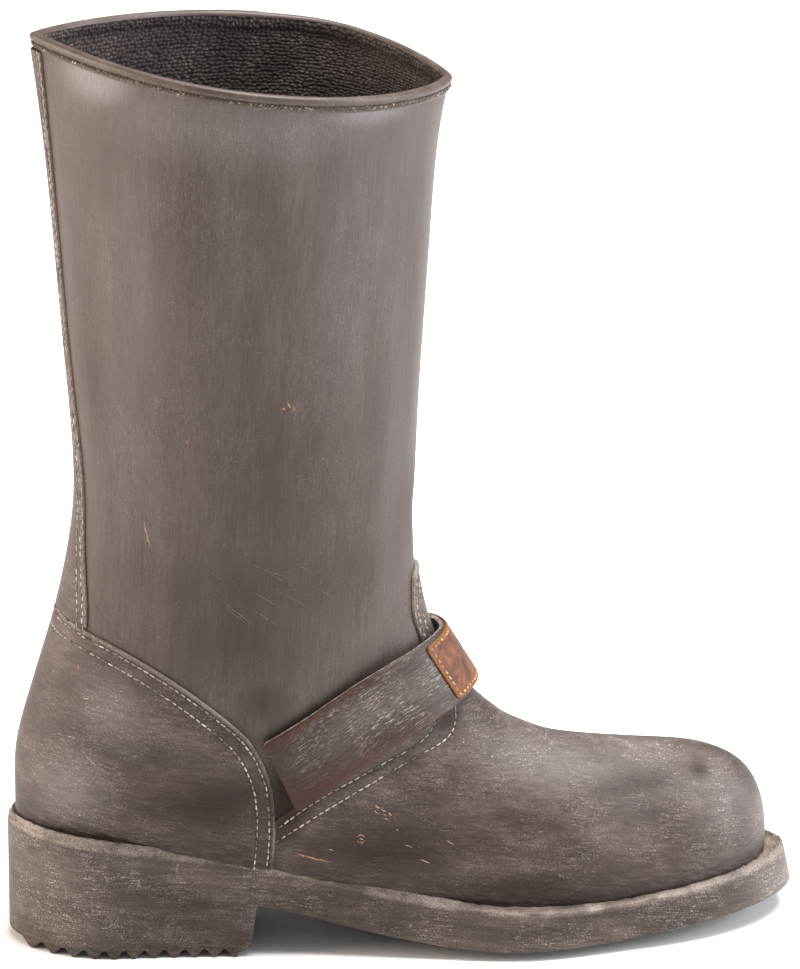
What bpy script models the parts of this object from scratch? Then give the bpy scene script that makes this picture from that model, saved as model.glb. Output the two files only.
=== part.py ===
"""Pull-on rain boot in the engineer style, right foot, standing on its sole.

Units are metres with +Z up.  The toe points along +X, the outer side of the foot faces -Y,
and the floor is Z = 0.  Sizes below are written in millimetres and scaled by MM.
"""

import math

import bmesh
import bpy
import numpy as np
from mathutils import Vector
from mathutils.bvhtree import BVHTree

MM = 0.001

# The tables measure X from the back of the heel and Y from the heel's middle.
# This is the middle of the boot's box on the floor, in the same measure.
ORIGIN = np.array((147.85, -1.0, 0.0))

# Walls, overlays and the clearance between pieces
GAP = 0.3
WALL = 2.2
OVERLAY = 1.2
INSOLE_THICK = 3.5
INSOLE_CLEARANCE = 0.4
BINDING_SKIN = 0.9
BINDING_DROP = 4.5
PANEL_SPLIT = 0.5
PRISM_HALF_WIDTH = 110

# Mesh density of the lofted upper
POINTS_PER_SIDE = 18
PATH_STEPS = 60
ROWS_PER_FOOT_SECTION = 2
ROWS_PER_SHAFT_SECTION = 1

# Sections of the upper's outer face, from the toe round the heel to the collar.
# top is the point on the front line and base the point on the sole or back line, at the boot's middle;
# lateral and medial are half widths from mid_y; widest is the share of the way from top to base
# at which each side is widest; top_round and base_round are superellipse exponents before and after it.
SECTION_COLUMNS = (
    "top_x", "top_z", "base_x", "base_z", "mid_y", "lateral", "medial",
    "widest_lateral", "widest_medial", "top_round", "base_round",
)
SECTIONS = {
    "toe_floor": (283.5, 2, 240, -8, 4, 32, 28, 0.97, 0.97, 2.0, 2.3),
    "toe_tip": (284.8, 29, 238, -10, 4, 33.5, 30, 0.95, 0.95, 2.05, 2.3),
    "toe_face": (283.0, 42.8, 235, -11, 4, 34, 30, 0.88, 0.88, 2.1, 2.3),
    "toe_brow": (275.8, 55, 230, -12, 3.5, 35.5, 32, 0.78, 0.78, 2.15, 2.3),
    "toe_top": (258, 62.4, 223, -13, 3, 37.5, 35, 0.68, 0.68, 2.2, 2.3),
    "toe_back": (234, 64.8, 209, -14, 2, 40, 37, 0.60, 0.60, 2.2, 2.3),
    "ball": (208, 68.6, 188, -14, 1, 41.5, 37.5, 0.56, 0.56, 2.15, 2.3),
    "vamp": (189.5, 76.4, 162, -13, 0.5, 40, 36.5, 0.55, 0.55, 2.1, 2.2),
    "instep_low": (176.5, 86.6, 131, -11, 0, 38.2, 36, 0.52, 0.52, 2.05, 2.0),
    "instep": (165.3, 99.8, 98, -6, 0, 37, 35.5, 0.47, 0.47, 2.0, 1.8),
    "throat": (157.5, 117, 56, 0, 0, 36.5, 35.5, 0.44, 0.44, 2.0, 1.8),
    "heel_floor": (153.9, 131, 8, 20, 0, 34, 33.5, 0.40, 0.40, 2.0, 1.8),
    "heel_seat": (152.2, 143, 3.9, 50, 0, 35, 34.5, 0.44, 0.44, 2.0, 1.9),
    "heel_bulge": (151.8, 155, 4.0, 72, 0, 37.8, 37.3, 0.48, 0.48, 2.0, 2.0),
    "heel_top": (152.0, 168, 10.9, 100, 0, 40, 39.5, 0.50, 0.50, 2.0, 2.0),
    "ankle": (152.6, 184, 21.8, 138, 0, 42.5, 42, 0.5, 0.5, 2.0, 2.0),
    "shaft_low": (153.9, 212, 27.6, 180, 0, 46, 45.5, 0.5, 0.5, 2.0, 2.0),
    "shaft_mid": (156.9, 256, 23.6, 240, 0, 51.5, 51, 0.5, 0.48, 1.9, 1.8),
    "shaft_high": (160.6, 303, 18.6, 306, 0, 57, 56, 0.5, 0.42, 1.55, 1.45),
    "collar": (165.2, 328.9, 13.5, 349.6, 0, 59.5, 57.5, 0.5, 0.32, 1.35, 1.1),
}
# Sections that run along the heel seat and turn up to the instep bend towards these points,
# and so does the dished collar
KNEES = {
    "throat": (98, 42),
    "heel_floor": (58, 6),
    "heel_seat": (72, 40),
    "heel_bulge": (74, 64),
    "heel_top": (76, 95),
    "ankle": (83, 141),
    "collar": (89, 341.4),
}
KNEE_PULL = 2.0
FIRST_SHAFT_SECTION = "shaft_low"

# Outsole in plan: half widths of the lower edge about mid_y, and how far the side leans in per unit of height
SOLE_COLUMNS = ("x", "mid_y", "lateral", "medial", "lean")
SOLE_STATIONS = {
    "heel_back": (-0.5, 1.5, 31.5, 31.5, 0.0),
    "heel": (45, 0.5, 31, 31.5, -0.05),
    "waist": (100, 0, 34.5, 32.5, 0.0),
    "joint": (150, 0, 43.5, 36, 0.06),
    "ball": (195, 1, 51.5, 44, 0.10),
    "toe_box": (235, 3.5, 48.5, 43, 0.16),
    "toe_tip": (298.2, 3.5, 48, 42, 0.21),
}
HEEL_ROUND_LENGTH = 38
HEEL_ROUND = 1.75
TOE_ROUND_LENGTH = 82
TOE_ROUND = 1.95
SOLE_STEPS = 44

# Outsole from the side: height of the ledge that carries the upper, and of the edge underneath
LEDGE = {"x": (-0.5, 30, 60, 90, 125, 155, 185, 215, 240, 265, 298.2),
         "z": (47.8, 45.4, 40.6, 35.2, 26.8, 21.7, 18.9, 18.3, 19.5, 21.6, 24.0)}
UNDERSIDE = {"x": (89.7, 106, 124, 142, 161, 183, 202, 217, 237, 257, 278, 298.2),
             "z": (20.8, 16.9, 12.2, 8.2, 5.2, 3.8, 4.0, 4.4, 5.7, 7.3, 8.7, 9.6)}
BREAST_FOOT_X = 87.2
SIDE_STEPS = 26
SOLE_FORM_TOP = 60

# Heel ridges and forefoot bars of the tread
RIDGES = {"count": 11, "first_x": 6.6, "pitch": 7.47, "root_z": 2.6, "base": 5.0, "tip": 1.0}
BARS = {"count": 9, "first_x": 140, "pitch": 13.6, "length": 8.5, "depth": 4.3, "inset": 12, "root": 2.0}

# Side outlines of the panels, seen along Y
COUNTER_EDGE = {"x": (8, 40, 69, 89, 95.6, 96.6, 95.4), "z": (134, 123, 105, 84.5, 66, 51.5, 34)}
VAMP_EDGE = {"x": (97.5, 102, 107, 124.6, 143.3, 155, 160.8, 159.5, 153.3, 149.8, 150.2, 156),
             "z": (52, 57.5, 62.5, 73.7, 83.4, 88, 93.5, 101.5, 115, 129, 138.5, 146)}
STAY_EDGE = {"x": (27.7, 28.8, 28.6, 24.3, 19.7, 16.2), "z": (126, 165, 191, 243, 291, 345)}
EDGE_STEPS = 22
PANEL_BACK_X = -20
PANEL_FRONT_X = 310

# Instep strap: a band about an axis inside the instep, tilted up to the front
STRAP = {"axis_x": 125.7, "axis_z": 85.4, "tilt": 23.7, "width": 29.8, "thick": 2.2, "rest": 0.45,
         "end_turn": 128, "foot_stand": 1.15, "front_lift": 1.6, "top_stand": 0.3,
         "lift_from": 82, "lift_to": 54}
STRAP_RISE = {"turn": (-128, -90, -60, -30, -10, 0, 15, 30, 60, 90, 128),
              "lower": (0.4, 4.6, 5.6, 5.2, 5.0, 5.0, 5.4, 6.0, 7.0, 5.2, 0.4),
              "upper": (0.4, 2.2, 2.2, 0.6, -0.6, -0.5, 1.6, 3.3, 4.5, 3.2, 0.4)}
STRAP_TURNS = 44
STRAP_LEVELS = 5
PATCH = {"turn": 32, "thick": 1.0, "edge": 1}

# Surface colours as linear RGB, with roughness
FINISHES = {
    "outsole": ((0.115, 0.088, 0.076), 0.62),
    "upper": ((0.165, 0.130, 0.115), 0.50),
    "insole": ((0.045, 0.038, 0.036), 0.90),
    "vamp": ((0.185, 0.145, 0.130), 0.48),
    "heel_counter": ((0.160, 0.125, 0.110), 0.50),
    "back_stay": ((0.165, 0.130, 0.115), 0.50),
    "collar_binding": ((0.150, 0.125, 0.118), 0.45),
    "strap": ((0.175, 0.135, 0.120), 0.50),
    "strap_patch": ((0.330, 0.160, 0.105), 0.60),
}


def smooth_at(places, rows, place):
    """Row of a table at one place, on a curve through the rows that doesn't overshoot them."""
    places = np.asarray(places, float)
    rows = np.asarray(rows, float).reshape(len(places), -1)
    spans = np.diff(places)[:, None]
    rises = np.diff(rows, axis=0) / spans
    product = rises[:-1] * rises[1:]
    total = np.where(product > 0, rises[:-1] + rises[1:], 1)
    inner = np.where(product > 0, 2 * product / total, 0)
    slopes = np.vstack((rises[:1], inner, rises[-1:]))
    k = int(np.clip(np.searchsorted(places, place, side="right") - 1, 0, len(spans) - 1))
    span = spans[k, 0]
    t = (place - places[k]) / span
    return (
        (2 * t**3 - 3 * t**2 + 1) * rows[k]
        + (t**3 - 2 * t**2 + t) * span * slopes[k]
        + (3 * t**2 - 2 * t**3) * rows[k + 1]
        + (t**3 - t**2) * span * slopes[k + 1]
    )


def eased(value, start, end):
    """Share from 0 at start to 1 at end, with soft ends."""
    share = min(max((value - start) / (end - start), 0), 1)
    return share**2 * (3 - 2 * share)


def height_at(line, x):
    """Height of a side-view line, such as the ledge, at one X."""
    return float(smooth_at(line["x"], line["z"], x)[0])


def edge_points(edge, steps=EDGE_STEPS):
    """Points along a panel's edge in side view, evenly spread over the rows of its table."""
    rows = np.column_stack((edge["x"], edge["z"]))
    return [tuple(smooth_at(range(len(rows)), rows, t)) for t in np.linspace(0, len(rows) - 1, steps)]


def section_table():
    """Section rows with their knee points added; a straight section has its knee half way."""
    rows = []
    for name, values in SECTIONS.items():
        top_x, top_z, base_x, base_z = values[:4]
        knee = KNEES.get(name, ((top_x + base_x) / 2, (top_z + base_z) / 2))
        rows.append(values + knee)
    return rows


def section_ring(section):
    """Closed ring of one section, from the top point round the lateral side to the base and back."""
    top = np.array((section["top_x"], section["top_z"]))
    base = np.array((section["base_x"], section["base_z"]))
    knee = np.array((section["knee_x"], section["knee_z"]))
    s = np.linspace(0, 1, PATH_STEPS)[:, None]
    pull = 2 * KNEE_PULL * s * (1 - s)
    path = ((1 - s) ** 2 * top + pull * knee + s**2 * base) / ((1 - s) ** 2 + pull + s**2)
    lengths = np.append(0, np.cumsum(np.linalg.norm(np.diff(path, axis=0), axis=1)))
    ring = []
    for step in range(2 * POINTS_PER_SIDE):
        turn = math.pi * step / POINTS_PER_SIDE
        side, sign = ("lateral", -1) if turn <= math.pi else ("medial", 1)
        cosine = math.cos(turn)
        roundness = section["top_round"] if cosine > 0 else section["base_round"]
        reach = abs(cosine) ** (2 / max(roundness, 2))
        widest = section["widest_" + side]
        share = widest * (1 - reach) if cosine > 0 else widest + (1 - widest) * reach
        width = section[side] * abs(math.sin(turn)) ** (2 / roundness)
        x = np.interp(share * lengths[-1], lengths, path[:, 0])
        z = np.interp(share * lengths[-1], lengths, path[:, 1])
        ring.append((x, section["mid_y"] + sign * width, z))
    return ring


def upper_rings():
    """Rings of the upper's outer face as an array of rows, points and XYZ, in table millimetres."""
    table = section_table()
    columns = SECTION_COLUMNS + ("knee_x", "knee_z")
    first_shaft = list(SECTIONS).index(FIRST_SHAFT_SECTION)
    foot_rows = np.linspace(0, first_shaft, first_shaft * ROWS_PER_FOOT_SECTION + 1)
    shaft_sections = len(table) - 1 - first_shaft
    shaft_rows = np.linspace(first_shaft, len(table) - 1, shaft_sections * ROWS_PER_SHAFT_SECTION + 1)
    rings = []
    for place in np.append(foot_rows, shaft_rows[1:]):
        values = smooth_at(range(len(table)), table, place)
        rings.append(section_ring(dict(zip(columns, values))))
    return np.array(rings)


def placed(points):
    """Table millimetres to the part's own frame in metres."""
    return ((np.asarray(points, float) - ORIGIN) * MM).tolist()


def new_object(name, mesh, collection):
    item = bpy.data.objects.new(name, mesh)
    collection.objects.link(item)
    return item


def finish_mesh(name, bm):
    mesh = bpy.data.meshes.new(name)
    bm.to_mesh(mesh)
    bm.free()
    return mesh


def loft_mesh(name, rings, close_first=True, close_last=False):
    """Skin over closed rings, with faces pointing out, capped at either end."""
    bm = bmesh.new()
    rows = [[bm.verts.new(point) for point in placed(ring)] for ring in rings]
    for lower, upper in zip(rows, rows[1:]):
        for p in range(len(lower)):
            q = (p + 1) % len(lower)
            bm.faces.new((lower[p], upper[p], upper[q], lower[q]))
    if close_first:
        bm.faces.new(rows[0])
    if close_last:
        bm.faces.new(rows[-1][::-1])
    if close_first and close_last:
        bmesh.ops.recalc_face_normals(bm, faces=bm.faces)
    return finish_mesh(name, bm)


def grid_mesh(name, grid):
    """Open sheet over a grid of points, rows by columns."""
    bm = bmesh.new()
    rows = [[bm.verts.new(point) for point in placed(row)] for row in grid]
    for lower, upper in zip(rows, rows[1:]):
        for p in range(len(lower) - 1):
            bm.faces.new((lower[p], lower[p + 1], upper[p + 1], upper[p]))
    return finish_mesh(name, bm)


def side_prism(name, outlines):
    """Cutter that runs right through the boot along Y, from one or more outlines in X and Z."""
    bm = bmesh.new()
    for outline in outlines:
        near = [bm.verts.new(p) for p in placed([(x, -PRISM_HALF_WIDTH, z) for x, z in outline])]
        face = bm.faces.new(near)
        extruded = bmesh.ops.extrude_face_region(bm, geom=[face])["geom"]
        moved = [v for v in extruded if isinstance(v, bmesh.types.BMVert)]
        bmesh.ops.translate(bm, verts=moved, vec=Vector((0, 2 * PRISM_HALF_WIDTH * MM, 0)))
    bmesh.ops.recalc_face_normals(bm, faces=bm.faces)
    return cutter(name, finish_mesh(name, bm))


def cutter(name, mesh):
    item = new_object(name, mesh, cutters)
    item.hide_render = True
    item.display_type = "WIRE"
    return item


def boolean(item, operation, other):
    modifier = item.modifiers.new(operation.lower() + "_" + other.name, "BOOLEAN")
    modifier.operation = operation
    modifier.solver = "EXACT"
    modifier.object = other


def displace(item, distance):
    modifier = item.modifiers.new("displace", "DISPLACE")
    modifier.strength = distance * MM
    modifier.mid_level = 0


def solidify(item, thickness, offset):
    modifier = item.modifiers.new("solidify", "SOLIDIFY")
    modifier.thickness = thickness * MM
    modifier.offset = offset


def ledge_line(rise, steps=SIDE_STEPS):
    """The ledge seen from the side, raised by a clearance, from behind the heel to past the toe."""
    xs = np.linspace(LEDGE["x"][0], LEDGE["x"][-1], steps)
    line = [(x, height_at(LEDGE, x) + rise) for x in xs]
    return [(PANEL_BACK_X, line[0][1])] + line + [(PANEL_FRONT_X, line[-1][1])]


def ledge_between(start_x, end_x, rise):
    """Part of the raised ledge line with its own end points, for the foot of a panel."""
    inner = [p for p in ledge_line(rise) if start_x < p[0] < end_x]
    ends = [(x, np.interp(x, *zip(*ledge_line(rise)))) for x in (start_x, end_x)]
    return ends[:1] + inner + ends[1:]


def sole_outline(inset=0, height=0):
    """Closed outline of the sole in plan at one height: to the toe on the lateral side, and back."""
    rows = np.array(list(SOLE_STATIONS.values()))
    start, end = rows[0, 0] + inset, rows[-1, 0] - inset
    turns = np.linspace(0, math.pi, SOLE_STEPS + 1)
    lateral, medial = [], []
    for x in start + (end - start) * (1 - np.cos(turns)) / 2:
        station = dict(zip(SOLE_COLUMNS, smooth_at(rows[:, 0], rows, x)))
        heel_share = max(0, 1 - (x - start) / (HEEL_ROUND_LENGTH - inset))
        toe_share = max(0, 1 - (end - x) / (TOE_ROUND_LENGTH - inset))
        narrowing = max(0, 1 - heel_share**HEEL_ROUND) ** (1 / HEEL_ROUND)
        narrowing *= max(0, 1 - toe_share**TOE_ROUND) ** (1 / TOE_ROUND)
        lateral.append((x, station["mid_y"] - (station["lateral"] - inset) * narrowing, station["lean"]))
        medial.append((x, station["mid_y"] + (station["medial"] - inset) * narrowing, station["lean"]))
    outline = np.array(lateral + medial[-2:0:-1])
    along = np.roll(outline, -1, axis=0)[:, :2] - np.roll(outline, 1, axis=0)[:, :2]
    inward = np.column_stack((-along[:, 1], along[:, 0])) / np.linalg.norm(along, axis=1)[:, None]
    plan = outline[:, :2] + inward * outline[:, 2:] * height
    return [(x, y, height) for x, y in plan]


def ridge_line():
    """Underside of the heel from the back to the breast, with its cross ridges."""
    line = [(PANEL_BACK_X, RIDGES["root_z"])]
    for k in range(RIDGES["count"]):
        x = RIDGES["first_x"] + k * RIDGES["pitch"]
        half_base, half_tip = RIDGES["base"] / 2, RIDGES["tip"] / 2
        line += [(x - half_base, RIDGES["root_z"]), (x - half_tip, 0), (x + half_tip, 0),
                 (x + half_base, RIDGES["root_z"])]
    return line + [(BREAST_FOOT_X, RIDGES["root_z"])]


def underside_line():
    xs = np.linspace(UNDERSIDE["x"][0], UNDERSIDE["x"][-1], SIDE_STEPS)
    line = [(x, height_at(UNDERSIDE, x)) for x in xs]
    return line + [(PANEL_FRONT_X, line[-1][1])]


def bar_outlines():
    """Side outlines of the forefoot bars: flat on the floor, or rising with the toe spring."""
    outlines = []
    for k in range(BARS["count"]):
        ends = [BARS["first_x"] + k * BARS["pitch"] + shift for shift in (0, BARS["length"])]
        heights = [height_at(UNDERSIDE, x) for x in ends]
        lower = [(x, max(0, z - BARS["depth"])) for x, z in zip(ends, heights)]
        upper = [(x, z + BARS["root"]) for x, z in zip(ends, heights)]
        outlines.append(lower + upper[::-1])
    return outlines


def make_outsole():
    form = [sole_outline(height=h) for h in (-BARS["root"], SOLE_FORM_TOP)]
    outsole = new_object("outsole", loft_mesh("outsole", form, close_last=True), parts)
    profile = ridge_line() + underside_line() + ledge_line(0)[::-1]
    boolean(outsole, "INTERSECT", side_prism("sole_profile", [profile]))
    bar_form = [sole_outline(inset=BARS["inset"], height=h) for h in (-BARS["root"], SOLE_FORM_TOP)]
    bars = cutter("forefoot_bars", loft_mesh("forefoot_bars", bar_form, close_last=True))
    boolean(bars, "INTERSECT", side_prism("bar_profile", bar_outlines()))
    boolean(outsole, "UNION", bars)
    return outsole


def make_upper(rings):
    upper = new_object("upper", loft_mesh("upper", rings), parts)
    solidify(upper, WALL, -1)
    below = ledge_line(GAP) + [(PANEL_FRONT_X, PANEL_BACK_X), (PANEL_BACK_X, PANEL_BACK_X)]
    boolean(upper, "DIFFERENCE", side_prism("below_ledge", [below]))
    return upper


def make_insole(rings):
    insole = new_object("insole", loft_mesh("insole", rings, close_last=True), parts)
    displace(insole, -(WALL + INSOLE_CLEARANCE))
    slab = ledge_line(GAP) + ledge_line(GAP + INSOLE_THICK)[::-1]
    boolean(insole, "INTERSECT", side_prism("insole_slab", [slab]))
    return insole


def make_panel(name, rings, outline):
    """Raised panel: a skin over the upper, kept inside an outline seen from the side."""
    panel = new_object(name, loft_mesh(name, rings), parts)
    displace(panel, GAP)
    solidify(panel, OVERLAY, 1)
    boolean(panel, "INTERSECT", side_prism(name + "_outline", [outline]))
    return panel


def make_heel_counter(rings):
    edge = edge_points(COUNTER_EDGE)
    foot = ledge_between(PANEL_BACK_X, edge[-1][0], GAP)
    return make_panel("heel_counter", rings, foot + edge[::-1] + [(PANEL_BACK_X, edge[0][1])])


def make_vamp(rings):
    edge = edge_points(VAMP_EDGE)
    start_x = edge[0][0]
    foot = ledge_between(start_x, PANEL_FRONT_X, GAP)
    return make_panel("vamp", rings, foot + [(PANEL_FRONT_X, edge[-1][1])] + edge[::-1])


def make_back_stay(rings):
    edge = edge_points(STAY_EDGE)
    corner_x = edge[0][0]
    counter = edge_points(COUNTER_EDGE)
    corner_z = np.interp(corner_x, *zip(*counter[: EDGE_STEPS // 2]))
    foot = [(x, z + PANEL_SPLIT) for x, z in counter if x < corner_x] + [(corner_x, corner_z + PANEL_SPLIT)]
    collar = rings[-1]
    front, back = collar[0], collar[POINTS_PER_SIDE]
    slope = (front[2] - back[2]) / (front[0] - back[0])
    drop = BINDING_DROP + PANEL_SPLIT

    def below_binding(x):
        return back[2] + slope * (x - back[0]) - drop

    side = [p for p in edge if foot[-1][1] < p[1] < below_binding(p[0])]
    top = [(x, below_binding(x)) for x in (side[-1][0], PANEL_BACK_X)]
    outline = [(PANEL_BACK_X, foot[0][1])] + foot + side + top
    return make_panel("back_stay", rings, outline)


def make_collar_binding(rings):
    """Rolled binding: a hooked profile carried round the rim, clear of the wall on both sides and on top."""
    rim, below = rings[-1], rings[-2]
    rise = rim - below
    rise /= np.linalg.norm(rise, axis=1)[:, None]
    around = np.roll(rim, -1, axis=0) - np.roll(rim, 1, axis=0)
    outward = np.cross(rise, around)
    outward /= np.linalg.norm(outward, axis=1)[:, None]
    outer, inner = GAP + BINDING_SKIN, -WALL - GAP - BINDING_SKIN
    middle = (outer + inner) / 2
    crown = GAP + BINDING_SKIN
    shoulder = crown / 2
    profile = (
        (GAP, -BINDING_DROP), (outer, -BINDING_DROP), (outer, 0), (outer - BINDING_SKIN / 2, shoulder),
        (middle, crown), (inner + BINDING_SKIN / 2, shoulder), (inner, 0), (inner, -BINDING_DROP),
        (-WALL - GAP, -BINDING_DROP), (-WALL - GAP, GAP), (GAP, GAP),
    )
    bm = bmesh.new()
    rows = [[bm.verts.new(p) for p in placed(rim + outward * out + rise * up)] for out, up in profile]
    for row, after in zip(rows, rows[1:] + rows[:1]):
        for p in range(len(row)):
            q = (p + 1) % len(row)
            bm.faces.new((row[p], after[p], after[q], row[q]))
    bmesh.ops.recalc_face_normals(bm, faces=bm.faces)
    return new_object("collar_binding", finish_mesh("collar_binding", bm), parts)


def bridged(reaches):
    """Reaches across the strap's width, with hollows spanned by straight lines as a stiff band spans them."""
    places = range(len(reaches))
    spans = [
        [np.interp(k, (a, b), (reaches[a], reaches[b])) for a in places for b in places if a <= k <= b]
        for k in places
    ]
    return [max(choices) for choices in spans]


def strap_grid(rings):
    """Inner face of the strap, levels from its lower to its upper edge by turns about its axis."""
    skin = BVHTree.FromPolygons(
        [tuple(p) for p in rings.reshape(-1, 3)],
        [
            (r * n + p, (r + 1) * n + p, (r + 1) * n + (p + 1) % n, r * n + (p + 1) % n)
            for n in (rings.shape[1],)
            for r in range(rings.shape[0] - 1)
            for p in range(n)
        ],
    )
    tilt = math.radians(STRAP["tilt"])
    forward = np.array((math.cos(tilt), 0, math.sin(tilt)))
    across = np.array((-math.sin(tilt), 0, math.cos(tilt)))
    lateral = np.array((0, -1, 0))
    axis = np.array((STRAP["axis_x"], 0, STRAP["axis_z"]))
    levels = np.linspace(-0.5, 0.5, STRAP_LEVELS)
    rises = list(zip(STRAP_RISE["lower"], STRAP_RISE["upper"]))
    grid = []
    for turn in np.linspace(-STRAP["end_turn"], STRAP["end_turn"], STRAP_TURNS + 1):
        ray = math.cos(math.radians(turn)) * forward + math.sin(math.radians(turn)) * lateral
        lower, upper = smooth_at(STRAP_RISE["turn"], rises, turn)
        starts = [
            axis + across * (STRAP["width"] * level + lower * (0.5 - level) + upper * (0.5 + level))
            for level in levels
        ]
        front = eased(abs(turn), STRAP["lift_from"], STRAP["lift_to"])
        reaches = []
        for start, level in zip(starts, levels):
            hit, normal, _, distance = skin.ray_cast(Vector(start), Vector(ray))
            lift = STRAP["rest"] + STRAP["foot_stand"] * (0.5 - level) ** 2
            lift += front * (STRAP["front_lift"] + STRAP["top_stand"] * (level + 0.5))
            reaches.append(distance + lift / abs(normal.dot(Vector(ray))))
        grid.append([start + ray * reach for start, reach in zip(starts, bridged(reaches))])
    return np.array(grid)


def make_strap(grid):
    strap = new_object("strap", grid_mesh("strap", grid), parts)
    solidify(strap, STRAP["thick"], 1)
    return strap


def make_strap_patch(grid):
    """Leather patch over the front of the strap, a little in from its edges."""
    turns = np.linspace(-STRAP["end_turn"], STRAP["end_turn"], STRAP_TURNS + 1)
    front = grid[np.abs(turns) <= PATCH["turn"]]
    inset = PATCH["edge"] / STRAP["width"] * (front[:, -1] - front[:, 0])
    front = front.copy()
    front[:, 0] += inset
    front[:, -1] -= inset
    patch = new_object("strap_patch", grid_mesh("strap_patch", front), parts)
    displace(patch, STRAP["thick"] + GAP)
    solidify(patch, PATCH["thick"], 1)
    return patch


def add_finish(item):
    colour, roughness = FINISHES[item.name]
    material = bpy.data.materials.new(item.name)
    material.use_nodes = True
    shader = material.node_tree.nodes["Principled BSDF"]
    shader.inputs["Base Color"].default_value = colour + (1,)
    shader.inputs["Roughness"].default_value = roughness
    shader.inputs["Metallic"].default_value = 0
    item.data.materials.append(material)


for old in list(bpy.data.objects):
    bpy.data.objects.remove(old)

parts = bpy.data.collections.new("rain_boot")
cutters = bpy.data.collections.new("rain_boot_cutters")
bpy.context.scene.collection.children.link(parts)
bpy.context.scene.collection.children.link(cutters)

skin_rings = upper_rings()
strap_face = strap_grid(skin_rings)
for piece in (
    make_outsole(),
    make_upper(skin_rings),
    make_insole(skin_rings),
    make_vamp(skin_rings),
    make_heel_counter(skin_rings),
    make_back_stay(skin_rings),
    make_collar_binding(skin_rings),
    make_strap(strap_face),
    make_strap_patch(strap_face),
):
    add_finish(piece)
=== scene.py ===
import math

import bpy
import numpy as np
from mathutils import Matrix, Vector
from mathutils.bvhtree import BVHTree
from mathutils.kdtree import KDTree


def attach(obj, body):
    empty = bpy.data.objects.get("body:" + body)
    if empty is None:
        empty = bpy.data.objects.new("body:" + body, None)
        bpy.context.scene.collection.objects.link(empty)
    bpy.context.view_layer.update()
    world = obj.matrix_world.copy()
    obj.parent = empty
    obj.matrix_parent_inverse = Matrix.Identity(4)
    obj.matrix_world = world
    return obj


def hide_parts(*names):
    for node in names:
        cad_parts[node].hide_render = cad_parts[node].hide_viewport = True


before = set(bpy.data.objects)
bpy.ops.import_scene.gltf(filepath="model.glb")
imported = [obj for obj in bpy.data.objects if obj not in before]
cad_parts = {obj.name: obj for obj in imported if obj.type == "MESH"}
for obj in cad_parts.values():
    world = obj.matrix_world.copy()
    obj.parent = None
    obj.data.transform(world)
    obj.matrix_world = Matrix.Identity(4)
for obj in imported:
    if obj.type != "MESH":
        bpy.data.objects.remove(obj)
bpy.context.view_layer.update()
print("frame loaded:", len(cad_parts), "solids")

mm = 0.001
origin = np.array((147.85, -1.0, 0.0))  # the part's origin, in millimetres from the back of the heel
root = bpy.context.scene.collection


def place(points):
    return (np.asarray(points, float) - origin) * mm


def toLinear(hexColour):
    parts = [int(hexColour[k:k + 2], 16) / 255 for k in (1, 3, 5)]
    return tuple(c / 12.92 if c <= 0.04045 else ((c + 0.055) / 1.055) ** 2.4 for c in parts) + (1.0,)


def addNode(tree, kind, settings=None, links=None):
    node = tree.nodes.new(kind)
    for key, value in (settings or {}).items():
        if isinstance(key, int) or key in node.inputs:
            node.inputs[key].default_value = value
        else:
            setattr(node, key, value)
    for key, source in (links or {}).items():
        tree.links.new(source, node.inputs[key])
    return node


def newMaterial(name, roughness):
    material = bpy.data.materials.new(name)
    material.use_nodes = True
    shader = material.node_tree.nodes["Principled BSDF"]
    for key, value in (("Roughness", roughness), ("IOR", 1.5), ("Specular IOR Level", 0.35)):
        shader.inputs[key].default_value = value
    return material, material.node_tree, shader


def addObject(name, data):
    made = bpy.data.objects.new(name, data)
    root.objects.link(made)
    return made


def addMesh(name, points, faces, edges=()):
    mesh = bpy.data.meshes.new(name)
    mesh.from_pydata(np.asarray(points, float).tolist(), list(edges), faces)
    return addObject(name, mesh)


# camera, light and floor

studio = {"azimuth": -6.5, "elevation": 19.0, "distance": 2.8, "aim": (147.0, 0.0, 172.6), "lens": 280.9,
          "lampAim": (0, 0, 0.15), "floor": "#f6f5f4", "floorHalf": 6.0, "sky": 0.45}
softboxes = {  # place in metres, size, watts, colour
    "leftBox": ((-2.2, 0.15, 0.7), 1.3, 68, "#ffeedf"),
    "rightBox": ((2.2, -0.35, 0.8), 1.3, 57, "#f2f6ff"),
    "topBox": ((0.5, 0.05, 2.3), 1.5, 128, "#ffffff"),
}


def facing(direction):
    return direction.to_track_quat("-Z", "Y").to_euler()


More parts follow.
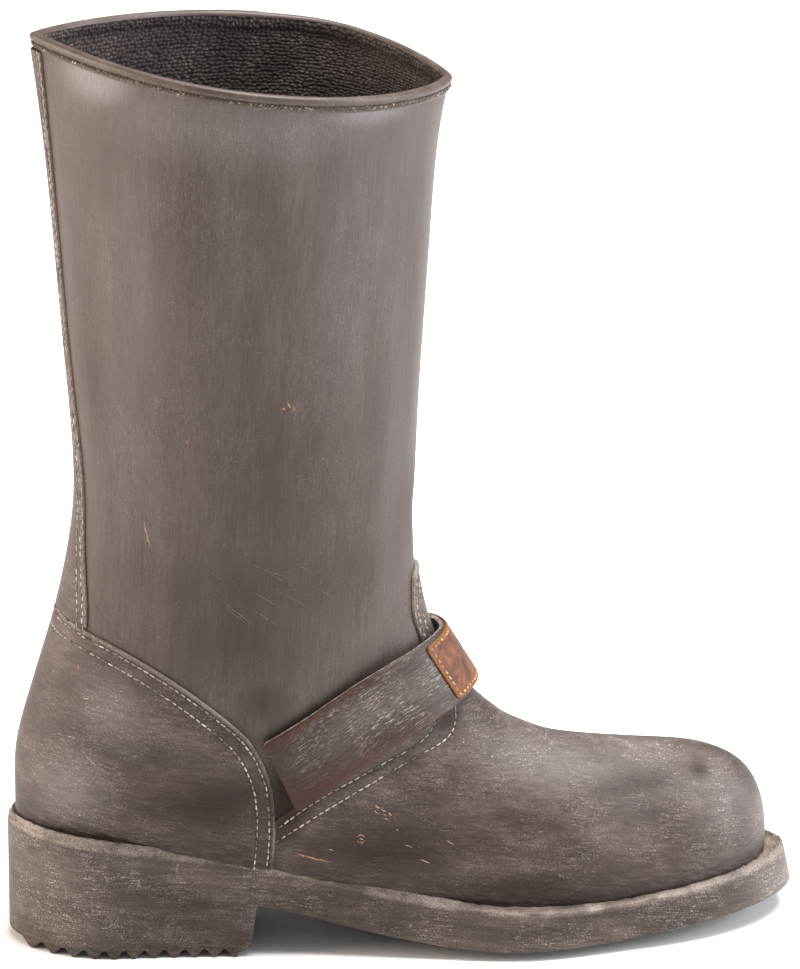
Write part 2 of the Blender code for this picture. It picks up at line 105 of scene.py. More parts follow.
def makeStudio():
    azimuth, elevation = math.radians(studio["azimuth"]), math.radians(studio["elevation"])
    back = Vector((math.sin(azimuth) * math.cos(elevation), -math.cos(azimuth) * math.cos(elevation),
                   math.sin(elevation)))
    camera = addObject("camera", bpy.data.cameras.new("camera"))
    camera.location = Vector(place(studio["aim"])) + back * studio["distance"]
    camera.rotation_euler = facing(-back)
    camera.data.lens = studio["lens"]
    bpy.context.scene.camera = camera
    for name, (spot, size, watts, tint) in softboxes.items():
        lamp = addObject(name, bpy.data.lights.new(name, "AREA"))
        lamp.data.size = size
        lamp.data.energy = watts
        lamp.data.color = toLinear(tint)[:3]
        lamp.location = spot
        lamp.rotation_euler = facing(Vector(studio["lampAim"]) - Vector(spot))
    world = bpy.data.worlds.new("studioSky")
    world.use_nodes = True
    sky = world.node_tree.nodes["Background"]
    sky.inputs["Color"].default_value = (1, 1, 1, 1)
    sky.inputs["Strength"].default_value = studio["sky"]
    bpy.context.scene.world = world
    bpy.context.scene.view_settings.view_transform = "Standard"
    half = studio["floorHalf"]
    corners = [(-half, -half, 0), (half, -half, 0), (half, half, 0), (-half, half, 0)]
    floor = addMesh("floor", corners, [(0, 1, 2, 3)])
    paper, _, shader = newMaterial("seamlessPaper", 0.9)  # matt white backdrop paper
    shader.inputs["Base Color"].default_value = toLinear(studio["floor"])
    floor.data.materials.append(paper)


makeStudio()
print("studio ready")

# the last: sections of the upper's outer face from the toe round the heel to the collar, in millimetres
# frontX, frontZ, baseX, baseZ, midY, lateral, medial, widestLateral, widestMedial, frontRound, baseRound

lastShape = {
    "sections": {
        "toeFloor": (283.5, 2, 240, -8, 4, 32, 28, 0.97, 0.97, 2.0, 2.3),
        "toeTip": (284.8, 29, 238, -10, 4, 33.5, 30, 0.95, 0.95, 2.05, 2.3),
        "toeFace": (283.0, 42.8, 235, -11, 4, 34, 30, 0.88, 0.88, 2.1, 2.3),
        "toeBrow": (275.8, 55, 230, -12, 3.5, 35.5, 32, 0.78, 0.78, 2.15, 2.3),
        "toeTop": (258, 62.4, 223, -13, 3, 37.5, 35, 0.68, 0.68, 2.2, 2.3),
        "toeBack": (234, 64.8, 209, -14, 2, 40, 37, 0.60, 0.60, 2.2, 2.3),
        "ball": (208, 68.6, 188, -14, 1, 41.5, 37.5, 0.56, 0.56, 2.15, 2.3),
        "vamp": (189.5, 76.4, 162, -13, 0.5, 40, 36.5, 0.55, 0.55, 2.1, 2.2),
        "instepLow": (176.5, 86.6, 131, -11, 0, 38.2, 36, 0.52, 0.52, 2.05, 2.0),
        "instep": (165.3, 99.8, 98, -6, 0, 37, 35.5, 0.47, 0.47, 2.0, 1.8),
        "throat": (157.5, 117, 56, 0, 0, 36.5, 35.5, 0.44, 0.44, 2.0, 1.8),
        "heelFloor": (153.9, 131, 8, 20, 0, 34, 33.5, 0.40, 0.40, 2.0, 1.8),
        "heelSeat": (152.2, 143, 3.9, 50, 0, 35, 34.5, 0.44, 0.44, 2.0, 1.9),
        "heelBulge": (151.8, 155, 4.0, 72, 0, 37.8, 37.3, 0.48, 0.48, 2.0, 2.0),
        "heelTop": (152.0, 168, 10.9, 100, 0, 40, 39.5, 0.50, 0.50, 2.0, 2.0),
        "ankle": (152.6, 184, 21.8, 138, 0, 42.5, 42, 0.5, 0.5, 2.0, 2.0),
        "shaftLow": (153.9, 212, 27.6, 180, 0, 46, 45.5, 0.5, 0.5, 2.0, 2.0),
        "shaftMid": (156.9, 256, 23.6, 240, 0, 51.5, 51, 0.5, 0.48, 1.9, 1.8),
        "shaftHigh": (160.6, 303, 18.6, 306, 0, 57, 56, 0.5, 0.42, 1.55, 1.45),
        "collar": (165.2, 328.9, 13.5, 349.6, 0, 59.5, 57.5, 0.5, 0.32, 1.35, 1.1),
    },
    "knees": {"throat": (98, 42), "heelFloor": (58, 6), "heelSeat": (72, 40), "heelBulge": (74, 64),
              "heelTop": (76, 95), "ankle": (83, 141), "collar": (89, 341.4)},
    "kneePull": 2.0, "fine": 24, "soften": 0.3, "pathSteps": 90, "turnSteps": 241, "probeSide": 40,
}
upperWall = {"thick": 2.2, "sunk": 1.0, "cell": 2.1, "perSide": 92, "overlay": 1.2}

# soft troughs (depth above zero) and ridges (below zero) pressed into the upper:
# middle, run, half length, half width, depth
creases = [
    ((258.8, -12.9, 59.4), (1, 0, 0), 7, 5, 1.7),
    ((267, -14, 55), (0, 1, 0), 8, 5, -0.5),
    ((274, -14, 46), (0.2, 0, 1), 13, 4, -0.45),
    ((269.5, -19, 43), (0.2, 0, 1), 12, 5, 0.5),
    ((236, -23, 57), (0.95, 0.31, 0.07), 22, 7, 0.8),
    ((232, -32, 40), (0.98, 0.2, -0.04), 42, 6, 0.6),
    ((202, -6, 70), (0.15, 1, 0.1), 24, 5, 0.55),
    ((187, -5, 77), (0.1, 1, 0.1), 22, 4.5, 0.5),
    ((176, -34, 55), (0.8, 0.1, 0.6), 20, 6, 0.5),
    ((150, -14, 163), (0, 1, 0.1), 22, 8, 0.6),
    ((62, -40, 152), (0.7, -0.2, -0.6), 26, 9, 0.8),
    ((92, -43, 150), (0.8, 0, -0.5), 26, 8, 0.5),
    ((72, 41, 150), (0.8, 0, -0.5), 28, 9, 0.7),
    ((228, 26, 52), (0.98, -0.2, 0), 30, 8, 0.7),
    ((100, -50, 262), (0.1, 0, 1), 60, 22, 0.9),
    ((58, -47, 285), (0.1, 0, 1), 50, 16, -0.5),
]


def smoothAt(places, rows, at):
    # curve through the rows of a table that doesn't overshoot them
    places = np.asarray(places, float)
    rows = np.asarray(rows, float).reshape(len(places), -1)
    spans = np.diff(places)[:, None]
    rises = np.diff(rows, axis=0) / spans
    product = rises[:-1] * rises[1:]
    total = np.where(product > 0, rises[:-1] + rises[1:], 1)
    slopes = np.vstack((rises[:1], np.where(product > 0, 2 * product / total, 0), rises[-1:]))
    at = np.clip(np.atleast_1d(np.asarray(at, float)), places[0], places[-1])
    k = np.clip(np.searchsorted(places, at, side="right") - 1, 0, len(spans) - 1)
    span = spans[k]
    t = (at - places[k])[:, None] / span
    return ((2 * t**3 - 3 * t**2 + 1) * rows[k] + (t**3 - 2 * t**2 + t) * span * slopes[k]
            + (3 * t**2 - 2 * t**3) * rows[k + 1] + (t**3 - t**2) * span * slopes[k + 1])


def smoothLine(places, heights, at):
    return smoothAt(places, heights, np.ravel(at))[:, 0].reshape(np.shape(at))


def soften(rows, width):
    # blur along the rows that keeps both ends, with the first loss of shape put back
    reach = min(int(4 * width) + 1, len(rows) - 1)
    kernel = np.exp(-0.5 * (np.arange(-reach, reach + 1) / width) ** 2)
    kernel /= kernel.sum()

    def blur(a):
        padded = np.vstack((2 * a[0] - a[reach:0:-1], a, 2 * a[-1] - a[-2:-reach - 2:-1]))
        return np.column_stack([np.convolve(padded[:, k], kernel, "valid") for k in range(a.shape[1])])

    once = blur(rows)
    return once + blur(rows - once)


def eased(value, start, end):
    share = np.clip((np.asarray(value, float) - start) / (end - start), 0, 1)
    return share**2 * (3 - 2 * share)


def rounded(edge, reach, least=0.0):
    # quarter circle that rises from the edge to one at the reach
    return np.sqrt(np.clip(1 - (1 - np.clip(edge / reach, 0, 1)) ** 2, least, 1))


def bell(value, middle, wide):
    return np.exp(-((value - middle) / wide) ** 2)


def unit(vectors):
    return vectors / np.maximum(np.linalg.norm(vectors, axis=-1), 1e-9)[..., None]


def walkedLength(points):
    return np.append(0, np.cumsum(np.linalg.norm(np.diff(points, axis=0), axis=1)))


def rowsAt(at, places, rows):
    return np.column_stack([np.interp(at, places, rows[:, k]) for k in range(rows.shape[1])])


def lastColumns():
    table = []
    for name, row in lastShape["sections"].items():
        table.append(row + lastShape["knees"].get(name, ((row[0] + row[2]) / 2, (row[1] + row[3]) / 2)))
    fine = np.linspace(0, len(table) - 1, (len(table) - 1) * lastShape["fine"] + 1)
    return soften(smoothAt(range(len(table)), table, fine), lastShape["soften"] * lastShape["fine"])


def lastRing(row, perSide):
    front, base, knee = row[0:2], row[2:4], row[11:13]
    s = np.linspace(0, 1, lastShape["pathSteps"])[:, None]
    pull = 2 * lastShape["kneePull"] * s * (1 - s)
    path = ((1 - s) ** 2 * front + pull * knee + s**2 * base) / ((1 - s) ** 2 + pull + s**2)
    walked = walkedLength(path)
    turn = np.linspace(0, math.pi, lastShape["turnSteps"])
    cosine = np.cos(turn)
    roundness = np.where(cosine > 0, row[9], row[10])
    reach = np.abs(cosine) ** (2 / np.maximum(roundness, 2))
    halves = []
    for sign, width, widest in ((-1, row[5], row[7]), (1, row[6], row[8])):
        along = np.where(cosine > 0, widest * (1 - reach), widest + (1 - widest) * reach) * walked[-1]
        y = row[4] + sign * width * np.abs(np.sin(turn)) ** (2 / roundness)
        x, z = rowsAt(along, walked, path).T
        points = np.column_stack((x, y, z))
        steps = walkedLength(points)
        halves.append(rowsAt(np.linspace(0, steps[-1], perSide + 1), steps, points))
    return np.vstack((halves[0], halves[1][-2:0:-1]))


def lastGrid(cell, perSide):
    columns = lastColumns()
    rings = np.array([lastRing(row, lastShape["probeSide"]) for row in columns])
    step = np.percentile(np.linalg.norm(np.diff(rings, axis=0), axis=2), 75, axis=1)
    walked = np.append(0, np.cumsum(step))
    even = np.linspace(0, walked[-1], int(walked[-1] / cell) + 1)
    order = np.arange(len(columns))
    rows = rowsAt(np.interp(even, walked, order), order, columns)
    points = np.array([lastRing(row, perSide) for row in rows])
    return pressCreases(points, gridNormals(points, True)), even


def gridNormals(points, closed):
    along = np.gradient(points, axis=0)
    if closed:
        around = np.roll(points, -1, axis=1) - np.roll(points, 1, axis=1)
    else:
        around = np.gradient(points, axis=1)
    return unit(np.cross(along, around))


def pressCreases(points, normals):
    press = np.zeros(points.shape[:2])
    for middle, along, long, wide, depth in creases:
        along = np.array(along, float)
        along /= np.linalg.norm(along)
        away = points - np.array(middle, float)
        run = away @ along
        across = np.maximum((away**2).sum(axis=2) - run**2, 0)
        press -= depth * np.exp(-(run / long) ** 2 - across / wide**2)
    return points + normals * press[..., None]


# cutting panels out of a skin and giving them thickness

def cutSkin(points, inside, closed, values=None):
    # keeps what is below zero in inside: corners near the line move on to it, so the edge runs clean
    rows, columns = inside.shape
    normals = gridNormals(points, closed).reshape(-1, 3)
    spots, level = points.reshape(-1, 3).copy(), inside.ravel().copy()
    extra = {key: np.array(value, float).reshape(rows * columns, -1) for key, value in (values or {}).items()}
    allIndex = np.arange(rows * columns).reshape(rows, columns)
    index, beside = allIndex, np.roll(allIndex, -1, axis=1)
    if not closed:
        index, beside = index[:, :-1], beside[:, :-1]
    a = np.concatenate((allIndex[:-1].ravel(), index.ravel()))
    b = np.concatenate((allIndex[1:].ravel(), beside.ravel()))
    crossing = level[a] * level[b] < 0
    a, b = a[crossing], b[crossing]
    t = level[a] / (level[a] - level[b])
    mover, other = np.where(t <= 0.5, a, b), np.where(t <= 0.5, b, a)
    share = np.where(t <= 0.5, t, 1 - t)
    order = np.argsort(-share)
    mover, other, share = mover[order], other[order], share[order][:, None]
    for field in (spots, normals, *extra.values()):
        field[mover] = field[mover] + share * (field[other] - field[mover])
    level[mover] = 0
    quads = np.stack((index[:-1], index[1:], beside[1:], beside[:-1]), axis=-1).reshape(-1, 4)
    heights = level[quads]
    whole = (heights.max(axis=1) <= 0) & (heights.min(axis=1) < 0)
    faces = quads[whole].tolist()
    split = (heights.max(axis=1) > 0) & (heights.min(axis=1) < 0)
    for quad, height in zip(quads[split], heights[split]):
        k = int(np.argmin(height))
        before, after = (k + 3) % 4, (k + 1) % 4
        if height[before] == 0 and height[after] == 0:
            faces.append([int(quad[before]), int(quad[k]), int(quad[after])])
    used = np.unique(np.concatenate([np.asarray(face) for face in faces]))
    renumber = np.full(rows * columns, -1)
    renumber[used] = np.arange(len(used))
    return {"points": spots[used], "normals": unit(normals[used]),
            "faces": [renumber[face].tolist() for face in faces],
            "values": {key: value[used] for key, value in extra.items()}}


def openEdges(faces):
    edges = dict.fromkeys((a, b) for face in faces for a, b in zip(face, face[1:] + face[:1]))
    return [edge for edge in edges if edge[::-1] not in edges]


def thicken(skin, high, low):
    # closed body from a skin: outer faces first, then as many inner faces, then the rim between them
    number = len(skin["points"])
    high = np.broadcast_to(np.asarray(high, float), number)[:, None]
    low = np.broadcast_to(np.asarray(low, float), number)[:, None]
    points = np.vstack((skin["points"] + skin["normals"] * high, skin["points"] + skin["normals"] * low))
    inner = [[v + number for v in reversed(face)] for face in skin["faces"]]
    rim = [[b, a, a + number, b + number] for a, b in openEdges(skin["faces"])]
    return points, skin["faces"] + inner + rim


def onBothFaces(values):
    return {key: np.concatenate((value, value)) for key, value in values.items()}


def writeValues(mesh, values):
    for key, value in values.items():
        value = np.asarray(value, np.float32)
        flat = value.ndim == 1 or value.shape[1] == 1
        layer = mesh.attributes.new(key, "FLOAT" if flat else "FLOAT_VECTOR", "POINT")
        layer.data.foreach_set("value" if flat else "vector", value.ravel())


def makePiece(name, points, faces, materials, values=None, faceMaterial=None, sharp=55):
    piece = addMesh(name, place(points), faces)
    mesh = piece.data
    for material in materials:
        mesh.materials.append(material)
    if faceMaterial is not None:
        mesh.polygons.foreach_set("material_index", np.asarray(faceMaterial, int))
    writeValues(mesh, values or {})
    mesh.shade_smooth()
    mesh.set_sharp_from_angle(angle=math.radians(sharp))
    return piece


def finishPiece(piece, nodes=()):
    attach(piece, "root")
    if nodes:
        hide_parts(*nodes)
    print("made", piece.name, len(piece.data.polygons), "faces")


# lines on a skin: panel edges, seams and what lies near them

seamLine = {"step": 0.5, "blur": 1.5, "shortest": 12, "normalBlur": 6, "rowBlur": 4, "probe": 2.5,
            "castFrom": 150, "drawnSteps": 160}


def sideDistance(outline, x, z):
    # distance from a closed side-view outline, below zero inside it
    nearest = np.full(x.shape, 1e9)
    inside = np.zeros(x.shape, bool)
    for (ax, az), (bx, bz) in zip(outline, np.roll(outline, -1, axis=0)):
        dx, dz = bx - ax, bz - az
        share = np.clip(((x - ax) * dx + (z - az) * dz) / max(dx * dx + dz * dz, 1e-9), 0, 1)
        nearest = np.minimum(nearest, np.hypot(x - ax - share * dx, z - az - share * dz))
        if az != bz:
            inside ^= ((az > z) != (bz > z)) & (x < ax + (z - az) * dx / (bz - az))
    return np.where(inside, -nearest, nearest)


def edgeLine(edge, steps=140):
    rows = np.column_stack((edge["x"], edge["z"]))
    return smoothAt(range(len(rows)), rows, np.linspace(0, len(rows) - 1, steps))


def evenPath(points, step, blur=0):
    walked = walkedLength(points)
    path = rowsAt(np.linspace(0, walked[-1], max(int(walked[-1] / step), 8) + 1), walked, points)
    return soften(path, blur / step) if blur else path


def edgePaths(skin, onEdge):
    # runs of the skin's open edge through the chosen corners
    links = {}
    for a, b in openEdges(skin["faces"]):
        if onEdge[a] and onEdge[b]:
            links.setdefault(a, []).append(b)
            links.setdefault(b, []).append(a)
    paths, seen = [], set()
    for start in sorted(links, key=lambda v: len(links[v])):
        if start in seen:
            continue
        run, following = [], [start]
        while following:
            run.append(following[0])
            seen.add(following[0])
            following = [v for v in links[run[-1]] if v not in seen]
        if len(run) > seamLine["shortest"]:
            paths.append(evenPath(skin["points"][run], seamLine["step"], seamLine["blur"]))
    return paths


def skinTree(points, faces):
    return BVHTree.FromPolygons([Vector(p) for p in points], faces)


def spotTree(spots):
    tree = KDTree(len(spots))
    for k, spot in enumerate(spots):
        tree.insert(spot, k)
    tree.balance()
    return tree


def nearestOn(tree, points):
    found = [tree.find_nearest(Vector(p)) for p in points]
    return np.array([f[0] for f in found]), np.array([f[1] for f in found])


def distanceTo(paths, points):
    tree = spotTree(np.vstack(paths))
    return np.array([tree.find(p)[2] for p in points])


def insetRow(name, path, inset):
    # a line on the upper at an even distance inside a panel's edge
    normals = soften(nearestOn(upperTree, path)[1], seamLine["normalBlur"])
    side = unit(np.cross(normals, unit(np.gradient(path, axis=0))))
    left, right = [insideOf(name, path + sign * seamLine["probe"] * side).mean() for sign in (1, -1)]
    sign = 1 if left < right else -1
    row, normals = nearestOn(upperTree, soften(path + sign * inset * side, seamLine["rowBlur"]))
    return row, soften(normals, seamLine["normalBlur"])


def sideRow(line, side):
    # a line drawn in side view, laid on the upper from one side
    casts = [upperTree.ray_cast(Vector((x, side * seamLine["castFrom"], z)), Vector((0, -side, 0)))
             for x, z in edgeLine(line, seamLine["drawnSteps"])]
    hits = [cast for cast in casts if cast[0] is not None]
    spots, normals = np.array([hit[0] for hit in hits]), np.array([hit[1] for hit in hits])
    return spots, soften(normals, seamLine["normalBlur"])


# materials: every pattern size is in real millimetres

def paintLayers(tree, colour, layers):
    # coats laid one over the other, each through a product of soft steps:
    # a step takes a value, where it starts and ends, and the coat's strength at both
    for steps, tint in layers:
        mask = None
        for source, start, end, first, last in steps:
            step = addNode(tree, "ShaderNodeMapRange", {"interpolation_type": "SMOOTHSTEP", 1: start, 2: end,
                                                        3: first, 4: last}, {0: source}).outputs[0]
            mask = step if mask is None else addNode(tree, "ShaderNodeMath", {"operation": "MULTIPLY"},
                                                     {0: mask, 1: step}).outputs[0]
        colour = addNode(tree, "ShaderNodeMix", {"data_type": "RGBA", 7: toLinear(tint)},
                         {0: mask, 6: colour}).outputs[2]
    return colour


def setStops(ramp, tones):
    stops = ramp.color_ramp.elements
    if len(tones) > 2:
        stops.new(0.5)
    for stop, (spot, colour) in zip(stops, tones):
        stop.position, stop.color = spot, toLinear(colour)


def joinShader(tree, shader, links):
    for key, source in links.items():
        tree.links.new(source, shader.inputs[key])


brush = {"toneSpots": (0.38, 0.5, 0.62), "weights": {"streak": 0.32, "blotch": 0.42, "grain": 0.26},
         "detail": {"streak": 4.0, "stroke": 3.0, "blotch": 3.0, "patch": 3.0, "dust": 2.0, "grain": 3.0}}


def brushedRubber(name, look):
    # moulded rubber with a pale paint dragged dry over a dark body: soft long streaks, broken strokes where
    # the brush caught the grain, bright flecks, and a dull sheen
    material, tree, shader = newMaterial(name, look["rough"][0])
    if look["along"]:
        where = addNode(tree, "ShaderNodeAttribute", {"attribute_name": look["along"]}).outputs["Vector"]
    else:
        where = addNode(tree, "ShaderNodeTexCoord").outputs["Object"]
    read = {key: addNode(tree, "ShaderNodeAttribute", {"attribute_name": key}).outputs["Fac"]
            for key in ("edgeDistance", "overLedge", "fromTop", "seamDistance", "dustAndSheen", "shadeAndGrime")}
    noise = {}
    for key, detail in brush["detail"].items():
        spread = addNode(tree, "ShaderNodeMapping", {
            "vector_type": "TEXTURE", "Scale": [s * mm for s in look[key]],
            "Rotation": (0, math.radians(look["lean"]), 0)}, {"Vector": where})
        noise[key] = addNode(tree, "ShaderNodeTexNoise", {"Scale": 1.0, "Detail": detail, "Roughness": 0.6},
                             {"Vector": spread.outputs[0]}).outputs[0]
    tone = None
    for key, weight in brush["weights"].items():
        tone = addNode(tree, "ShaderNodeMath", {"operation": "MULTIPLY_ADD", 1: weight, 2: 0.0},
                       {0: noise[key]} if tone is None else {0: noise[key], 2: tone}).outputs[0]
    ramp = addNode(tree, "ShaderNodeValToRGB", None, {0: tone})
    setStops(ramp, list(zip(brush["toneSpots"], look["tones"])))
    specks = addNode(tree, "ShaderNodeMapping", {"Scale": [1 / (s * mm) for s in look["fleck"]]},
                     {"Vector": where})
    cells = addNode(tree, "ShaderNodeTexVoronoi", {"Scale": 1.0}, {"Vector": specks.outputs[0]})
    chance = addNode(tree, "ShaderNodeSeparateColor", None, {0: cells.outputs["Color"]}).outputs[0]
    coats = (  # the value that a coat needs, its soft steps and its colour
        ("seams", [(read["seamDistance"], 0.2, 1.1, 0.6, 0.0)], "deep"),
        # pale dust with painted highlights and sheen where the pale spots lie
        ("dustAndSheenColour", [(read["dustAndSheen"], 0.0, 1.0, 0.0, 0.9), (noise["stroke"], 0.3, 0.62, 0.65, 1.0)],
         "dustAndSheenColour"),
        ("strokes", [(noise["stroke"], 0.52, 0.68, 0.0, look["strokes"]),
                     (noise["patch"], 0.44, 0.62, 0.08, 1.0)], "strokeColour"),
        ("pits", [(noise["dust"], 0.3, 0.46, look["pits"], 0.0)], "deep"),
        ("dusts", [(noise["dust"], look["dustFrom"], look["dustFrom"] + 0.14, 0.0, look["dusts"]),
                   (noise["stroke"], *look["dustRun"], 1.0), (noise["patch"], 0.42, 0.6, 0.2, 1.0),
                   (read["dustAndSheen"], 0.0, 0.6, 0.5, 1.0)], "fleckColour"),
        ("fleckShare", [(cells.outputs["Distance"], 0.04, 0.15, 0.7, 0.0),
                        (chance, look["fleckShare"], look["fleckShare"] + 0.2, 0.0, 1.0)], "fleckColour"),
        ("lip", [(read["edgeDistance"], 0.1, look["lip"], 0.85, 0.0),
                 (noise["grain"], 0.35, 0.6, 0.35, 1.0)], "lipColour"),
        ("bare", [(read["edgeDistance"], 0.4, look["bare"], 0.95, 0.0),
                  (noise["patch"], 0.36, 0.52, 0.4, 1.0)], "bareColour"),
        ("feather", [(read["overLedge"], 0.3, look["feather"], 0.9, 0.0),
                     (noise["streak"], 0.36, 0.6, 1.0, 0.35)], "deep"),
        ("rim", [(read["fromTop"], 0.5, look["rim"], 0.85, 0.0), (noise["grain"], 0.36, 0.6, 0.25, 1.0),
                 (noise["patch"], 0.36, 0.58, 0.3, 1.0)], "lipColour"),
        # painted shade, with some dirt, where the dark spots lie
        ("deep", [(read["shadeAndGrime"], 0.0, 1.0, 0.0, 0.9)], "deep"),
    )
    colour = paintLayers(tree, ramp.outputs[0], [(steps, look[tint]) for need, steps, tint in coats
                                                 if look[need]])
    shiny, matt = look["rough"]
    dull = addNode(tree, "ShaderNodeMapRange", {1: 0.36, 2: 0.64, 3: shiny, 4: matt}, {0: tone})
    dull = addNode(tree, "ShaderNodeMath", {"operation": "MULTIPLY_ADD", 1: 0.45, "use_clamp": True},
                   {0: read["shadeAndGrime"], 2: dull.outputs[0]})  # painted shade and dirt take the gloss away
    height = addNode(tree, "ShaderNodeMath", {"operation": "MULTIPLY_ADD", 1: 0.7},
                     {0: noise["stroke"], 2: tone})
    bump = addNode(tree, "ShaderNodeBump", {"Strength": look["bump"], "Distance": 0.3 * mm},
                   {"Height": height.outputs[0]})
    joinShader(tree, shader, {"Base Color": colour, "Roughness": dull.outputs[0], "Normal": bump.outputs[0]})
    return material


def tannedLeather(name, look):
    # vegetable-tanned leather, rubbed darker in the middle and dry and orange at its border, with fine pores
    material, tree, shader = newMaterial(name, 0.62)
    where = addNode(tree, "ShaderNodeTexCoord").outputs["Object"]
    pores = addNode(tree, "ShaderNodeTexVoronoi", {"Scale": 1 / (look["pore"] * mm)}, {"Vector": where})
    cloud = addNode(tree, "ShaderNodeTexNoise", {"Scale": 1 / (look["cloud"] * mm), "Detail": 5.0,
                                                 "Roughness": 0.65}, {"Vector": where})
    ramp = addNode(tree, "ShaderNodeValToRGB", None, {0: cloud.outputs[0]})
    setStops(ramp, look["tones"])
    edge = addNode(tree, "ShaderNodeAttribute", {"attribute_name": "edgeDistance"}).outputs["Fac"]
    away = addNode(tree, "ShaderNodeMath", {"operation": "SUBTRACT", 1: look["thread"]}, {0: edge})
    away = addNode(tree, "ShaderNodeMath", {"operation": "ABSOLUTE"}, {0: away.outputs[0]})
    colour = paintLayers(tree, ramp.outputs[0], (
        ([(edge, look["border"] - 1.2, look["border"] + 0.6, 0.85, 0.0)], look["borderColour"]),
        ([(away.outputs[0], 0.1, 0.55, 0.7, 0.0)], look["hole"])))
    bump = addNode(tree, "ShaderNodeBump", {"Strength": 0.45, "Distance": 0.2 * mm},
                   {"Height": pores.outputs["Distance"]})
    joinShader(tree, shader, {"Base Color": colour, "Normal": bump.outputs[0]})
    return material


def mottledMatt(name, size, *tones):
    # matt stuff in two tones, paler on its worn crowns: waxed thread, and rubber that is cut or rubbed bare
    material, tree, shader = newMaterial(name, 0.7)
    where = addNode(tree, "ShaderNodeTexCoord").outputs["Object"]
    fuzz = addNode(tree, "ShaderNodeTexNoise", {"Scale": 1 / (size * mm), "Detail": 3.0}, {"Vector": where})
    ramp = addNode(tree, "ShaderNodeValToRGB", None, {0: fuzz.outputs[0]})
    setStops(ramp, tones)
    bump = addNode(tree, "ShaderNodeBump", {"Strength": 0.4, "Distance": 0.1 * mm},
                   {"Height": fuzz.outputs[0]})
    joinShader(tree, shader, {"Base Color": ramp.outputs[0], "Normal": bump.outputs[0]})
    return material


def waffleKnit(name, look):
    # coarse charcoal knit: rows of small loops, some of which catch the light, soft and without gloss
    material, tree, shader = newMaterial(name, 0.95)
    where = addNode(tree, "ShaderNodeAttribute", {"attribute_name": "knit"}).outputs["Vector"]
    wale = addNode(tree, "ShaderNodeMapping", {"Scale": [1 / s for s in look["loop"]] + [1.0]},
                   {"Vector": where})
    loops = addNode(tree, "ShaderNodeTexVoronoi", {"voronoi_dimensions": "2D", "Scale": 1.0,
                                                   "Randomness": 0.6}, {"Vector": wale.outputs[0]})
    chance = addNode(tree, "ShaderNodeSeparateColor", None, {0: loops.outputs["Color"]}).outputs[0]
    fuzz = addNode(tree, "ShaderNodeTexNoise", {"Scale": 1 / look["cloud"], "Detail": 6.0, "Roughness": 0.7},
                   {"Vector": where})
    ramp = addNode(tree, "ShaderNodeValToRGB", None, {0: fuzz.outputs[0]})
    setStops(ramp, look["tones"])
    fromMiddle = loops.outputs["Distance"]
    # painted shade in the gaps between the loops, painted highlights on the crowns of some loops
    colour = paintLayers(tree, ramp.outputs[0], (
        ([(fromMiddle, 0.3, 0.6, 0.0, 0.7)], look["gap"]),
        ([(fromMiddle, 0.05, 0.32, 0.7, 0.0), (chance, look["litShare"], 1.0, 0.0, 1.0),
          (fuzz.outputs[0], 0.46, 0.62, 0.1, 1.0)], look["lit"])))
    rise = addNode(tree, "ShaderNodeMath", {"operation": "SUBTRACT", 0: 1.0}, {1: fromMiddle})
    bump = addNode(tree, "ShaderNodeBump", {"Strength": 0.8, "Distance": 0.8 * mm},
                   {"Height": rise.outputs[0]})
    joinShader(tree, shader, {"Base Color": colour, "Normal": bump.outputs[0]})
    return material


# how each rubber piece was brushed: pattern sizes along x, y and z, and the coats that only some pieces have
brushBase = {"lean": 0, "along": None, "grain": (0.55, 0.55, 0.55), "dustRun": (0.42, 0.6, 0.2),
             "seams": False, "lip": 0, "bare": 0, "feather": 0, "rim": 0}
shaftLook = {
    **brushBase, "lean": 3, "tones": ("#352924", "#433732", "#504642"), "deep": "#1f120c",
    "streak": (0.9, 0.9, 26), "stroke": (0.3, 0.3, 6), "blotch": (13, 13, 85), "patch": (26, 26, 26),
    "strokes": 0.24, "strokeColour": "#6d6260", "dust": (0.4, 0.4, 0.7), "dustFrom": 0.58, "dusts": 0.55,
    "dustAndSheenColour": "#7b7675", "fleck": (2.6, 2.6, 3.0), "fleckShare": 0.9, "fleckColour": "#a4988f",
    "pits": 0.3, "rough": (0.44, 0.54), "bump": 0.16, "feather": 5}
panelLook = {
    **brushBase, "lean": 9, "tones": ("#241712", "#3b2e29", "#544844"), "deep": "#1f110b",
    "streak": (7, 7, 1.3), "stroke": (6, 6, 0.45), "blotch": (34, 34, 12), "patch": (16, 16, 16),
    "strokes": 0.2, "strokeColour": "#7a6e67", "dust": (0.75, 0.75, 0.3), "dustFrom": 0.55, "dusts": 0.9,
    "dustAndSheenColour": "#776f6c", "fleck": (2.4, 2.4, 1.8), "fleckShare": 0.88, "fleckColour": "#b0a499",
    "pits": 0.5, "rough": (0.5, 0.62), "bump": 0.26,
    "feather": 11, "lip": 1.5, "lipColour": "#8c8078", "seams": True}
strapLook = {
    **brushBase, "along": "strapGrain", "tones": ("#1c100b", "#2f221b", "#42362f"), "deep": "#1d0f09",
    "streak": (16, 0.8, 16), "stroke": (9, 0.5, 9), "blotch": (26, 5, 26), "patch": (15, 15, 15),
    "strokes": 0.34, "strokeColour": "#7a6f68", "dust": (2.2, 0.2, 2.2), "dustFrom": 0.52, "dusts": 1.0,
    "dustRun": (0.46, 0.56, 0.08), "dustAndSheenColour": "#584e48",
    "fleck": (2.2, 1.0, 2.2), "fleckShare": 0.86, "fleckColour": "#c2b8ae",
    "pits": 0.85, "rough": (0.44, 0.58), "bump": 0.55, "bare": 6.5, "bareColour": "#3b1a11"}
